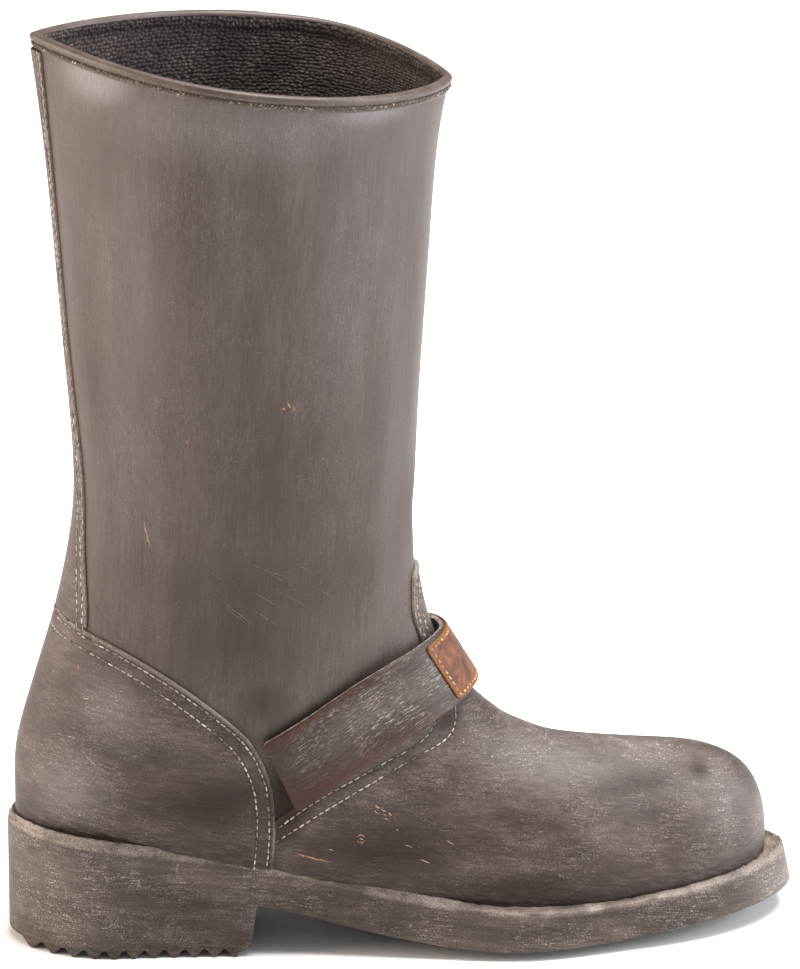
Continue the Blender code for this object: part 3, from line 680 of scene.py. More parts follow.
bindingLook = {
    **brushBase, "tones": ("#3a2e28", "#463a34", "#544842"), "deep": "#1c1411",
    "streak": (12, 12, 12), "stroke": (1.5, 1.5, 1.5), "blotch": (20, 20, 20), "patch": (12, 12, 12),
    "strokes": 0.2, "strokeColour": "#786d66", "dust": (0.6, 0.6, 0.6), "dustFrom": 0.56, "dusts": 0.25,
    "dustAndSheenColour": "#6f6864", "fleck": (1.8, 1.8, 1.8), "fleckShare": 0.92, "fleckColour": "#a0948a",
    "pits": 0.2, "rough": (0.4, 0.5), "bump": 0.12}
soleLook = {
    **brushBase, "lean": 5, "tones": ("#20140f", "#3b2f28", "#564a44"), "deep": "#1d0f09",
    "streak": (20, 20, 1.5), "stroke": (6, 6, 0.5), "blotch": (40, 40, 9), "patch": (14, 14, 14),
    "strokes": 0.42, "strokeColour": "#786c64", "dust": (0.55, 0.55, 0.32), "dustFrom": 0.52, "dusts": 1.0,
    "dustAndSheenColour": "#6d635d", "fleck": (2.0, 2.0, 1.4), "fleckShare": 0.82, "fleckColour": "#beb3a9",
    "pits": 0.8, "rough": (0.46, 0.6), "bump": 0.45, "rim": 2.4, "lipColour": "#877b72"}

shaftRubber = brushedRubber("brushedShaftRubber", shaftLook)
panelRubber = brushedRubber("brushedPanelRubber", panelLook)
strapRubber = brushedRubber("brushedStrapRubber", strapLook)
bindingRubber = brushedRubber("satinBindingRubber", bindingLook)
soleRubber = brushedRubber("brushedSoleRubber", soleLook)
patchLeather = tannedLeather("vegetableTannedLeather", {
    "tones": ((0.36, "#3a1e10"), (0.5, "#542e19"), (0.66, "#6b4026")), "pore": 0.8, "cloud": 4.5,
    "border": 2.4, "borderColour": "#673e1b", "thread": 1.6, "hole": "#2b170d"})
seamThread = mottledMatt("wornCottonThread", 5.0, (0.38, "#4f433b"), (0.62, "#bbafa3"))
ropeThread = mottledMatt("goldenCottonThread", 1.4, (0.54, "#40352e"), (0.78, "#a8988a"))
patchThread = mottledMatt("orangeCottonThread", 1.6, (0.38, "#7a4f2a"), (0.62, "#b58a5e"))
strapEdge = mottledMatt("cutRubberEdge", 2.0, (0.35, "#4d4541"), (0.7, "#8f8884"))
tanScuff = mottledMatt("bareTanRubber", 1.5, (0.35, "#6b4230"), (0.65, "#a87c5f"))
paleScuff = mottledMatt("scratchedPaleRubber", 1.5, (0.35, "#4d433e"), (0.65, "#736861"))
creamScuff = mottledMatt("chippedCreamRubber", 1.2, (0.35, "#6f6257"), (0.65, "#b3a598"))
liningKnit = waffleKnit("charcoalWaffleKnit", {
    "loop": (1.8, 1.6), "cloud": 14, "tones": ((0.35, "#3a312d"), (0.65, "#5a504b")),
    "gap": "#231d1b", "lit": "#aaa29c", "litShare": 0.66})
sockFelt = waffleKnit("charcoalSockFelt", {
    "loop": (1.3, 1.3), "cloud": 14, "tones": ((0.35, "#2b2522"), (0.65, "#3d3532")),
    "gap": "#1a1614", "lit": "#5a524d", "litShare": 0.5})
print("materials ready")

# the sole's lines, which the upper and the panels also follow

soleShape = {
    "stations": ((-0.5, 1.5, 31.5, 31.5, 0), (45, 0.5, 31, 31.5, -0.05), (100, 0, 34.5, 32.5, 0),
                 (150, 0, 43.5, 36, 0.06), (195, 1, 51.5, 44, 0.10), (235, 3.5, 48.5, 43, 0.16),
                 (298.2, 3.5, 48, 42, 0.21)),  # x, midY, lateral, medial, lean
    "heelRound": (38, 1.75), "toeRound": (82, 1.95),
    "ledgeX": (-0.5, 30, 60, 90, 125, 155, 185, 215, 240, 265, 298.2),
    "ledgeZ": (47.8, 45.4, 41.0, 36.5, 27.9, 22.0, 18.9, 18.3, 19.5, 21.6, 24.0),
    "underX": (89.7, 106, 124, 142, 161, 183, 202, 217, 237, 257, 278, 298.2),
    "underZ": (20.8, 16.9, 12.2, 8.2, 5.2, 3.8, 4.0, 4.4, 5.7, 7.3, 8.7, 9.6),
    "heelRoot": 3.2, "breastFoot": 87.2, "breastHead": 89.7,
}


def ledgeAt(x):
    return smoothLine(soleShape["ledgeX"], soleShape["ledgeZ"], x)


def underAt(x):
    x = np.asarray(x, float)
    arch = smoothLine(soleShape["underX"], soleShape["underZ"], x)
    foot, head, heelRoot = soleShape["breastFoot"], soleShape["breastHead"], soleShape["heelRoot"]
    breast = heelRoot + (soleShape["underZ"][0] - heelRoot) * np.clip((x - foot) / (head - foot), 0, 1)
    return np.where(x < head, breast, arch)


# painted shade with some dirt in hollows, under the strap's end and on the lower faces, and pale dust with
# painted highlights and sheen where the boot was rubbed or faces the light: middle, half sizes along x, y, z,
# strength
shadeAndGrimeSpots = [
    ((101, -38, 64), (9, 30, 20), 1.0), ((190, -42, 27), (50, 16, 8), 0.6),
    ((258.8, -12.9, 59.4), (5, 6, 4), 0.9), ((136, -42, 43), (44, 16, 15), 0.78),
    ((72, -38, 62), (32, 16, 17), 0.75), ((98, -46, 180), (34, 24, 60), 0.34),
    ((95, -42, 146), (52, 28, 26), 0.5), ((120, -40, 20), (42, 22, 14), 0.5),
    ((82, -38, 90), (14, 14, 16), 0.45), ((84, -37, 42), (18, 18, 9), 0.5),
    ((92, -40, 104), (14, 20, 14), 0.62), ((86, -40, 128), (38, 22, 30), 0.55),
    ((240, -20, 57), (16, 10, 4), 0.3), ((62, -34, 20), (26, 12, 16), 0.45),
    ((163, -26, 87), (7, 12, 8), 0.6), ((180, -50, 10), (80, 20, 9), 0.25),
    ((32, -25, 226), (9, 25, 36), 0.35), ((152, -18, 165), (12, 25, 26), 0.45),
    ((147, -22, 260), (7, 25, 90), 0.22),
]
dustAndSheenSpots = [
    ((34, -30, 341), (14, 25, 10), 0.95), ((128, -35, 331), (26, 25, 7), 0.95),
    ((85, -45, 330), (55, 30, 18), 0.5), ((119, -44, 265), (13, 25, 70), 0.28),
    ((36, -34, 100), (16, 25, 18), 0.55), ((14, -30, 30), (18, 25, 14), 0.5),
    ((205, -14, 72), (40, 25, 12), 0.5), ((266, -18, 50), (26, 28, 22), 0.42),
    ((232, -38, 46), (30, 20, 14), 0.32), ((284, -16, 40), (14, 26, 16), 0.5),
    ((46, -42, 250), (17, 25, 75), 0.32), ((20, -26, 66), (18, 25, 25), 0.6),
    ((240, -2, 68), (36, 18, 8), 0.6), ((290, -20, 14), (16, 30, 10), 0.6),
    ((20, -30, 12), (20, 25, 12), 0.4),
]


# painted shade with dirt, and pale dust with painted highlights and sheen, at each point from the spots
# listed above
def wearAndPaintedLightAt(points):
    paintedAndWorn = {}
    for key, spots in (("dustAndSheen", dustAndSheenSpots), ("shadeAndGrime", shadeAndGrimeSpots)):
        paintedAndWorn[key] = np.zeros(len(points))
        for middle, size, strength in spots:
            away = (np.asarray(points) - middle) / size
            paintedAndWorn[key] = np.maximum(paintedAndWorn[key], strength * np.exp(-(away**2).sum(axis=1)))
    return paintedAndWorn


def overLedge(points):
    return points[:, 2] - ledgeAt(points[:, 0])


# upper: one hollow wall, rubber outside and knit lining inside

coarse, coarseRows = lastGrid(upperWall["cell"], upperWall["perSide"])
collarLine = coarse[-1]


def makeUpper():
    steps = np.linalg.norm(np.roll(coarse, -1, axis=1) - coarse, axis=2)
    around = np.cumsum(steps, axis=1) - steps
    around = np.minimum(around, steps.sum(axis=1)[:, None] - around)
    upward = np.broadcast_to(coarseRows[:, None], around.shape)
    knit = np.stack((around, upward, np.zeros_like(around)), axis=-1)
    skin = cutSkin(coarse, ledgeAt(coarse[..., 0]) - upperWall["sunk"] - coarse[..., 2], True, {"knit": knit})
    points, faces = thicken(skin, 0.0, -upperWall["thick"])
    number = len(skin["faces"])
    lined = np.zeros(len(faces), int)
    lined[number:2 * number] = 1
    values = {**skin["values"], "overLedge": overLedge(skin["points"]), **wearAndPaintedLightAt(skin["points"])}
    upper = makePiece("shaftUpper", points, faces, [shaftRubber, liningKnit], onBothFaces(values), lined)
    finishPiece(upper, ["upper"])
    return skin


upperSkin = makeUpper()
upperTree = skinTree(upperSkin["points"], upperSkin["faces"])

# raised panels: their top rolls down to the wall at the edge and dips along each seam

panelSkin = {"cell": 1.25, "perSide": 160, "sunk": 1, "foot": 0.1, "low": 0.3, "high": 1.5, "lipRound": 0.9,
             "leastRound": 0.02, "proud": 0.3, "proudAt": (0.8, 0.7), "groove": 0.3, "grooveWide": 0.7,
             "footSteps": {"counter": 50, "vamp": 70}, "onEdge": 0.5}
panelEdges = {
    "counter": {"x": (8, 40, 69, 89, 95.6, 96.6, 95.4), "z": (134, 123, 105, 84.5, 66, 51.5, 34),
                "rows": (2.1, 6.7), "backX": -20},
    "vamp": {"x": (97, 102, 107, 124.6, 143.3, 155, 160.8, 159.5, 153.3, 149.8, 150.2, 156),
             "z": (55, 58.8, 62.5, 73.7, 83.4, 88, 93.5, 101.5, 115, 129, 138.5, 146),
             "rows": (), "tuck": (96, 108), "tucked": 0.35, "footX": (95.6, 310), "heelX": 95.9,
             "heelDrop": 0.5,
             "drawn": ({"x": (98.5, 107, 115.8, 127, 139.1, 147, 153, 157, 158.5),
                        "z": (52.6, 59.4, 65.2, 71.2, 76.9, 80, 83.3, 88.5, 95)},
                       {"x": (97.2, 110, 124, 143, 151.5, 159.5, 163.7, 164.8, 165),
                        "z": (46.8, 55.8, 64.4, 74.2, 77.6, 80.4, 83.6, 88, 97)}),
             "tabRows": (1.9, 5.4), "tabFrom": 106},
    "stay": {"z": (118, 135, 165, 191, 215, 243, 291, 352), "half": (22, 19.5, 12.5, 9.5, 7.2, 5.6, 4.8, 4.8),
             "rows": (1.2,), "innerRow": 4.2, "innerTo": 236, "frontX": 62, "foot": 100, "overCounter": 0.5,
             "rim": 5.0, "rimRows": 12, "onEdge": 0.4},
}
fine = lastGrid(panelSkin["cell"], panelSkin["perSide"])[0]


def panelOutlines():
    counter, vamp = edgeLine(panelEdges["counter"]), edgeLine(panelEdges["vamp"])
    backX, (footX, toeX) = panelEdges["counter"]["backX"], panelEdges["vamp"]["footX"]
    heel = (panelEdges["vamp"]["heelX"], vamp[0, 1] - panelEdges["vamp"]["heelDrop"])
    feet = {}
    for name, start, end in (("counter", backX, counter[-1, 0]), ("vamp", footX, toeX)):
        x = np.linspace(start, end, panelSkin["footSteps"][name])
        feet[name] = np.column_stack((x, ledgeAt(x) - panelSkin["sunk"]))
    return {"counter": (np.vstack((feet["counter"], counter[::-1], [(backX, counter[0, 1])])), counter),
            "vamp": (np.vstack((feet["vamp"], [(toeX, vamp[-1, 1])], vamp[::-1], [heel])), vamp)}


outlines = panelOutlines()
seamRows, panelTops = {}, {}


def insideOf(name, points):
    # signed distance from a panel's outline, below zero inside
    if name == "stay":
        stay = panelEdges["stay"]
        half = smoothLine(stay["z"], stay["half"], points[..., 2])
        return np.maximum(np.abs(points[..., 1]) - half, points[..., 0] - stay["frontX"])
    return sideDistance(outlines[name][0], points[..., 0], points[..., 2])


def makePanel(name, node, level):
    skin = cutSkin(fine, level, True)
    spots, edges = skin["points"], panelEdges[name]
    if name == "stay":
        fromLine = insideOf(name, spots)
    else:
        line = outlines[name][1]
        fromLine = sideDistance(np.vstack((line, line[::-1])), spots[:, 0], spots[:, 2])
    paths = edgePaths(skin, np.abs(fromLine) < edges.get("onEdge", panelSkin["onEdge"]))
    edge = distanceTo(paths, spots)
    high = panelSkin["low"] + (panelSkin["high"] - panelSkin["low"]) * rounded(
        edge, panelSkin["lipRound"], panelSkin["leastRound"])
    high += panelSkin["proud"] * bell(edge, *panelSkin["proudAt"])
    rows = [insetRow(name, path, row) for path in paths for row in edges["rows"]]
    if name == "stay":
        rows += [insetRow(name, path[path[:, 2] < edges["innerTo"]], edges["innerRow"]) for path in paths]
    if name == "vamp":
        rows += [sideRow(line, side) for line in edges["drawn"] for side in (-1, 1)]
        rows += [insetRow(name, path[path[:, 2] > edges["tabFrom"]], row)
                 for path in paths for row in edges["tabRows"]]
        # it runs in under the counter
        high *= edges["tucked"] + (1 - edges["tucked"]) * eased(spots[:, 0], *edges["tuck"])
    seam = distanceTo([row for row, _ in rows], spots)
    high -= panelSkin["groove"] * bell(seam, 0, panelSkin["grooveWide"])
    points, faces = thicken(skin, high, panelSkin["foot"])
    panelTops[name] = skinTree(points[:len(spots)], skin["faces"])
    seamRows[name] = [(nearestOn(panelTops[name], row + normals)[0], normals) for row, normals in rows]
    values = {"edgeDistance": edge, "overLedge": overLedge(spots), "seamDistance": seam, **wearAndPaintedLightAt(spots)}
    piece = makePiece(name + "Panel", points, faces, [panelRubber], onBothFaces(values))
    finishPiece(piece, [node])


def stayLevel():
    # the stay ends on the counter, above the sole and under the binding
    stay = panelEdges["stay"]
    level = np.maximum.reduce((insideOf("stay", fine), stay["overCounter"] - insideOf("counter", fine),
                               stay["foot"] - fine[..., 2]))
    top = slice(-stay["rimRows"], None)
    fall = distanceTo([collarLine], fine[top].reshape(-1, 3)).reshape(stay["rimRows"], -1)
    level[top] = np.maximum(level[top], stay["rim"] - fall)
    return level


makePanel("counter", "heel_counter", insideOf("counter", fine))
makePanel("vamp", "vamp", insideOf("vamp", fine))
makePanel("stay", "back_stay", stayLevel())

# collar binding: a rolled rubber edge over the rim, its ends lapped on the inner side

bindingShape = {  # out from and up along the wall: the roll over its stitched band, then the lined inner leg
    "roll": ((0.1, -4.4), (0.55, -4.5), (0.75, -4.2), (0.7, -2.6), (0.72, -1.95), (0.95, -1.7), (1.12, -1.1),
             (1.12, -0.4), (0.85, 0.35), (0.4, 0.8), (-0.3, 1.0), (-1.1, 1.02), (-1.8, 0.8), (-2.35, 0.35),
             (-2.6, -0.3)),
    "lined": ((-2.65, -1.0), (-2.65, -4.0), (-2.4, -4.4), (-2.3, -4.3), (-2.3, 0.1), (0.1, 0.1)),
    "lapX": (84, 101), "lapY": 20, "lapGrow": 1.16, "lapMiddle": (-1.1, 0),
    "ropeUp": -2.95, "ropeOut": 0.7, "ropeStep": 0.6,
}


def makeBinding():
    rim, firstX, lastX = collarLine, *bindingShape["lapX"]
    rise = unit(rim - coarse[-3])
    outward = unit(np.cross(rise, np.roll(rim, -1, axis=0) - np.roll(rim, 1, axis=0)))
    profile = np.array(bindingShape["roll"] + bindingShape["lined"])
    lap = (rim[:, 1] > bindingShape["lapY"]) & (rim[:, 0] > firstX) & (rim[:, 0] < lastX)
    grow = np.where(lap, bindingShape["lapGrow"], 1.0)[:, None, None]
    shape = (profile - bindingShape["lapMiddle"]) * grow + bindingShape["lapMiddle"]
    points = rim[:, None] + shape[..., :1] * outward[:, None] + shape[..., 1:] * rise[:, None]
    count = len(profile)
    index = np.arange(len(rim) * count).reshape(len(rim), count)
    after, beside = np.roll(index, -1, axis=0), np.roll(index, -1, axis=1)
    faces = np.stack((index, after, np.roll(after, -1, axis=1), beside), axis=-1).reshape(-1, 4).tolist()
    lined = np.tile(np.arange(count) >= len(bindingShape["roll"]) - 1, len(rim))
    run = walkedLength(np.vstack((rim, rim[:1])))[:-1]
    weave = np.stack((np.broadcast_to(run[:, None], index.shape), np.broadcast_to(profile[:, 1], index.shape),
                      np.zeros(index.shape)), axis=-1).reshape(-1, 3)
    piece = makePiece("collarBinding", points.reshape(-1, 3), faces, [bindingRubber, liningKnit],
                      {"knit": weave}, lined, sharp=60)
    finishPiece(piece, ["collar_binding"])
    rope = rim + rise * bindingShape["ropeUp"] + outward * bindingShape["ropeOut"]
    rope = evenPath(np.vstack((rope, rope[:1])), bindingShape["ropeStep"])
    return rope, np.vstack([outward[np.argmin(((rim - p) ** 2).sum(axis=1))] for p in rope])


ropeRow = makeBinding()

# strap: a band round the instep that stands off the front, with rounded edges and a worn red-brown end

strapShape = {
    "axis": (125.7, 85.4), "tilt": 23.7, "width": 29.8, "thick": 2.2, "rest": 0.45, "endTurn": 128,
    "footStand": 1.15, "frontLift": 1.6, "topStand": 0.3, "liftFrom": 82, "liftTo": 54, "leastFacing": 0.35,
    "riseTurn": (-128, -90, -60, -30, -10, 0, 15, 30, 60, 90, 128),
    "lowerRise": (0.4, 4.6, 5.6, 5.2, 5.0, 5.0, 5.4, 6.0, 7.0, 5.2, 0.4),
    "upperRise": (0.4, 2.2, 2.2, 0.6, -0.6, -0.5, 1.6, 3.3, 4.5, 3.2, 0.4),
    "turns": 300, "levels": 44, "blurAlong": 5, "blurAcross": 2.5,
    "trim": 0.01, "cornerRound": 0.8, "edgeRound": 0.9, "edgeRoll": 0.5, "footRoll": 0.6,
    "bareFade": 0.07, "bareFrom": 8, "bareFoot": 0.42,
    "dustAndSheen": 0.7, "dustAndSheenRun": (46, 28), "dustAndSheenRise": (2.5, 8), "shadeAndGrime": 0.5, "shadeAndGrimeRun": 24,
}
patchShape = {"turn": 29.3, "spareTurn": 2, "thick": 1.0, "low": 0.05, "topEdge": 1.0, "footEdge": 0.2,
              "corner": 1.8, "cornerSteps": 7, "edgeRound": 0.9, "edgeRoll": 0.35,
              "thread": 1.6, "threadDip": 0.3, "dipWide": 0.6, "threadStep": 0.4, "threadBlur": 1.5}


def strapGrid():
    s = strapShape
    tilt = math.radians(s["tilt"])
    forward = np.array((math.cos(tilt), 0, math.sin(tilt)))
    across = np.array((-math.sin(tilt), 0, math.cos(tilt)))
    axis = np.array((s["axis"][0], 0, s["axis"][1]))
    wall = skinTree(upperSkin["points"] + upperWall["overlay"] * upperSkin["normals"], upperSkin["faces"])
    turns = np.linspace(-s["endTurn"], s["endTurn"], s["turns"] + 1)
    levels = np.linspace(-0.5, 0.5, s["levels"] + 1)
    rises = np.column_stack((s["lowerRise"], s["upperRise"]))
    reach = np.zeros((len(levels), len(turns)))
    starts, rays = np.zeros(reach.shape + (3,)), np.zeros(reach.shape + (3,))
    for k, turn in enumerate(turns):
        ray = math.cos(math.radians(turn)) * forward + math.sin(math.radians(turn)) * np.array((0, -1.0, 0))
        lower, upper = smoothAt(s["riseTurn"], rises, turn)[0]
        front = eased(abs(turn), s["liftFrom"], s["liftTo"])
        for j, level in enumerate(levels):
            start = axis + across * (s["width"] * level + lower * (0.5 - level) + upper * (0.5 + level))
            found = wall.ray_cast(Vector(start), Vector(ray))
            lift = (s["rest"] + s["footStand"] * (0.5 - level) ** 2
                    + front * (s["frontLift"] + s["topStand"] * (level + 0.5)))
            reach[j, k] = found[3] + lift / max(abs(Vector(ray).dot(found[1])), s["leastFacing"])
            starts[j, k], rays[j, k] = start, ray
        bridged(reach[:, k], levels)
    reach = soften(soften(reach.T, s["blurAlong"]).T, s["blurAcross"])
    return starts + rays * reach[..., None], turns


def bridged(column, levels):
    # the band spans hollows between the levels it rests on
    hull = []
    for spot in zip(levels, column):
        while len(hull) > 1 and (hull[-1][1] - hull[-2][1]) * (spot[0] - hull[-2][0]) <= (
                spot[1] - hull[-2][1]) * (hull[-1][0] - hull[-2][0]):
            hull.pop()
        hull.append(spot)
    column[:] = np.interp(levels, [h[0] for h in hull], [h[1] for h in hull])


def roundedBox(u, v, halfU, halfV, corner):
    # distance outside a rounded rectangle about the middle, below zero inside
    outU, outV = np.abs(u) - halfU + corner, np.abs(v) - halfV + corner
    return np.minimum(np.maximum(outU, outV), 0) + np.hypot(np.maximum(outU, 0), np.maximum(outV, 0)) - corner


strapPoints, strapTurns = strapGrid()
strapRun = np.zeros(strapPoints.shape[:2])
strapRun[:, 1:] = np.cumsum(np.linalg.norm(np.diff(strapPoints, axis=1), axis=2), axis=1)
strapRun -= strapRun[:, -1:] / 2
strapRise = np.zeros(strapPoints.shape[:2])
strapRise[1:] = np.cumsum(np.linalg.norm(np.diff(strapPoints, axis=0), axis=2), axis=0)
strapRise -= strapRise[-1:] / 2


def makeStrap():
    s = strapShape
    level = roundedBox(strapRun, strapRise, np.abs(strapRun[:, -1:]) - s["trim"],
                       np.abs(strapRise[-1:]) - s["trim"], s["cornerRound"])
    grain = np.stack((strapRun, strapRise, np.zeros_like(strapRun)), axis=-1) * mm
    bare = np.minimum(strapRise[-1:] - strapRise, s["bareFoot"] * (strapRise - strapRise[:1]))
    skin = cutSkin(strapPoints, level, False, {"strapGrain": grain, "edgeDistance": -level, "bare": bare})
    edge, bare = np.abs(skin["values"]["edgeDistance"][:, 0]), skin["values"]["bare"][:, 0]
    grain = skin["values"]["strapGrain"]
    roll = s["edgeRoll"] * (1 - rounded(edge, s["edgeRound"]))
    points, faces = thicken(skin, s["thick"] - roll, roll * s["footRoll"])
    fromEnd = np.abs(strapRun).max() - np.abs(grain[:, 0] / mm)
    # bare edges thin out away from the end
    worn = np.minimum(bare, fromEnd) + s["bareFade"] * np.maximum(fromEnd - s["bareFrom"], 0)
    # painted shade with dirt towards the band's ends, and pale dust with painted sheen a little way in from
    # them
    values = {"strapGrain": grain, "edgeDistance": worn,
              "dustAndSheen": s["dustAndSheen"] * bell(fromEnd, *s["dustAndSheenRun"]) * bell(grain[:, 1] / mm, *s["dustAndSheenRise"]),
              "shadeAndGrime": s["shadeAndGrime"] * bell(fromEnd, 0, s["shadeAndGrimeRun"])}
    piece = makePiece("strapBand", points, faces, [strapRubber, strapEdge], onBothFaces(values),
                      np.arange(len(faces)) >= len(skin["faces"]))
    finishPiece(piece, ["strap"])
    return strapPoints + gridNormals(strapPoints, False) * s["thick"]


strapTop = makeStrap()


def makePatch():
    p = patchShape
    columns = np.flatnonzero(np.abs(strapTurns) < p["turn"] + p["spareTurn"])
    lastColumn = np.flatnonzero(np.abs(strapTurns) <= p["turn"])[-1]
    halfU = float(np.abs(strapRun[:, lastColumn]).mean())
    halfV = float(np.abs(strapRise[-1, columns]).mean()) - (p["topEdge"] + p["footEdge"]) / 2
    run, rise = strapRun[:, columns], strapRise[:, columns] + (p["topEdge"] - p["footEdge"]) / 2
    level = roundedBox(run, rise, halfU, halfV, p["corner"])
    skin = cutSkin(strapTop[:, columns], level, False, {"edgeDistance": -level})
    edge = np.abs(skin["values"]["edgeDistance"][:, 0])
    crown = p["edgeRoll"] * (1 - rounded(edge, p["edgeRound"]))
    dip = p["threadDip"] * bell(edge, p["thread"], p["dipWide"])
    points, faces = thicken(skin, p["thick"] - crown - dip, p["low"])
    piece = makePiece("strapPatch", points, faces, [patchLeather], onBothFaces({"edgeDistance": edge}))
    finishPiece(piece, ["strap_patch"])
    top = skinTree(points[:len(edge)], skin["faces"])
    corner = p["corner"] - p["thread"]
    loop = []
    for k, (signU, signV) in enumerate(((1, 1), (-1, 1), (-1, -1), (1, -1))):
        for turn in np.linspace(0, math.pi / 2, p["cornerSteps"]) + k * math.pi / 2:
            loop.append((signU * (halfU - p["thread"] - corner) + corner * math.cos(turn),
                         signV * (halfV - p["thread"] - corner) + corner * math.sin(turn), 0))
    tree = spotTree(np.column_stack((run.ravel(), rise.ravel(), np.zeros(run.size))))
    flatTop = strapTop[:, columns].reshape(-1, 3)
    path = []
    for spot in evenPath(np.array(loop + loop[:1]), p["threadStep"]):
        near = tree.find_n(spot, 4)
        weights = np.array([1 / (n[2] + 1e-3) for n in near])
        path.append((flatTop[[n[1] for n in near]] * (weights / weights.sum())[:, None]).sum(axis=0))
    return nearestOn(top, soften(np.array(path), p["threadBlur"]))


patchRow = makePatch()

# outsole: side wall with rounded edges and a rough lip, whose shoulder climbs to the upper at heel and waist

soleMesh = {
    "stations": 190, "columns": 18, "walls": 12, "underside": 30.0, "seed": 5,
    "footShare": (0, 0.012, 0.04), "footPull": (0.25, 0.08, 0.0), "wallShare": (0.1, 0.88),
    "lipShare": (0.955, 0.985, 1.0), "lipPull": (0.0, 0.25, 0.9),
    "lump": 0.16, "lumpFrom": 0.93, "lumpWide": (1, 3),
    "lipRows": (0.5, 1.1, 1.8, 3.2), "lipFull": 16, "dip": 0.3, "dipRun": (0.5, 3.4), "pitted": 0.14,
    "shoulder": 2.2, "climb": (0, 1.8), "fall": (3, 5.5), "fade": (145, 185), "faded": 0.75,
}


def solePlan(inset, x):
    rows = np.array(soleShape["stations"], float)
    start, end = rows[0, 0] + inset, rows[-1, 0] - inset
    at = smoothAt(rows[:, 0], rows, x)
    heelLength, heelPower = soleShape["heelRound"]
    toeLength, toePower = soleShape["toeRound"]
    heelShare = np.clip(1 - (x - start) / (heelLength - inset), 0, 1)
    toeShare = np.clip(1 - (end - x) / (toeLength - inset), 0, 1)
    narrow = (1 - heelShare**heelPower) ** (1 / heelPower) * (1 - toeShare**toePower) ** (1 / toePower)
    lateral, medial = at[:, 1] - (at[:, 2] - inset) * narrow, at[:, 1] + (at[:, 3] - inset) * narrow
    ring = np.vstack((np.column_stack((x, lateral)), np.column_stack((x, medial))[-2:0:-1]))
    lean = np.append(at[:, 4], at[-2:0:-1, 4])
    along = np.roll(ring, -1, axis=0) - np.roll(ring, 1, axis=0)
    return ring, unit(np.column_stack((-along[:, 1], along[:, 0]))), lean


def soleX(inset, count):
    start, end = soleShape["stations"][0][0] + inset, soleShape["stations"][-1][0] - inset
    x = start + (end - start) * (0.5 - 0.5 * np.cos(np.linspace(0, math.pi, count + 1)))
    for fixed in (soleShape["breastFoot"], soleShape["breastHead"]):
        x[np.argmin(np.abs(x - fixed))] = fixed
    return x


def makeSole():
    m = soleMesh
    count, columns, walls = m["stations"], m["columns"], m["walls"]
    x = soleX(0.0, count)
    ring, inward, lean = solePlan(0.0, x)
    total = len(ring)
    top = ledgeAt(ring[:, 0])
    for _ in range(3):
        top = ledgeAt(ring[:, 0] + inward[:, 0] * lean * top)
    low = underAt(ring[:, 0])
    share = np.concatenate((m["footShare"], np.linspace(*m["wallShare"], walls - 6), m["lipShare"]))
    pull = np.interp(share, m["footShare"] + m["lipShare"], m["footPull"] + m["lipPull"])
    random = np.random.default_rng(m["seed"])
    lumps = np.zeros(total)
    for wide in m["lumpWide"]:
        thrice = np.tile(random.normal(0, 1, total), 3)
        lumps += np.convolve(thrice, np.ones(wide) / math.sqrt(wide), "same")[total:2 * total]
    rows = []
    for s, p in zip(share, pull):
        z = low + (top - low) * s
        rough = m["lump"] * eased(s, m["lumpFrom"], 1.0) * lumps
        rows.append(np.column_stack((ring + inward * (lean * z + p - 0.5 * rough)[:, None], z + rough)))
    points = np.array(rows)
    spots = points.reshape(-1, 3).tolist()
    fromTop = (top[None] - points[..., 2]).ravel().tolist()
    faces = []
    for base in range(0, (walls - 1) * total, total):
        for p in range(total):
            q = (p + 1) % total
            faces.append([base + p, base + q, base + total + q, base + total + p])

    def lipHeight(x, inset):
        rise = m["shoulder"] * (1 - m["faded"] * eased(x, *m["fade"]))
        return (ledgeAt(x) - m["dip"] * eased(inset, *m["dipRun"])
                + rise * eased(inset, *m["climb"]) * (1 - eased(inset, *m["fall"]))
                + random.normal(0, m["pitted"]))

    def cap(base, upward):
        grid = []
        for i in range(count + 1):
            a, b = base + i, base + (total - i) % total
            line = [a]
            if 0 < i < count:
                pa, pb = np.array(spots[a]), np.array(spots[b])
                wide = np.linalg.norm(pb - pa)
                near = np.array(m["lipRows"]) * min(1, wide / m["lipFull"])
                middle = np.linspace(near[-1], wide - near[-1], columns + 1 - 2 * len(near))[1:-1]
                for step in (*near, *middle, *(wide - near[::-1])):
                    point = pa + (pb - pa) * step / wide
                    toSide, toEnd = min(step, wide - step), min(point[0] - x[0], x[-1] - point[0]) + 0.01
                    inset = toSide * toEnd / math.hypot(toSide, toEnd)
                    point[2] = lipHeight(point[0], inset) if upward else underAt(point[0])
                    line.append(len(spots))
                    spots.append(point.tolist())
                    fromTop.append(-inset if upward else m["underside"])
                line.append(b)
            grid.append(line)
        for here, there in zip(grid, grid[1:]):
            hereEnd, thereEnd = len(here) - 1, len(there) - 1
            for s in range(columns):
                corners = list(dict.fromkeys((here[min(s, hereEnd)], there[min(s, thereEnd)],
                                              there[min(s + 1, thereEnd)], here[min(s + 1, hereEnd)])))
                if len(corners) > 2:
                    faces.append(corners if upward else corners[::-1])

    cap((walls - 1) * total, True)
    cap(0, False)
    piece = makePiece("soleUnit", spots, faces, [soleRubber], {"fromTop": fromTop, **wearAndPaintedLightAt(spots)}, sharp=40)
    finishPiece(piece, ["outsole"])


makeSole()

# heel ridges and forefoot bars: one block set along the sole by nodes and trimmed to the sole's outline

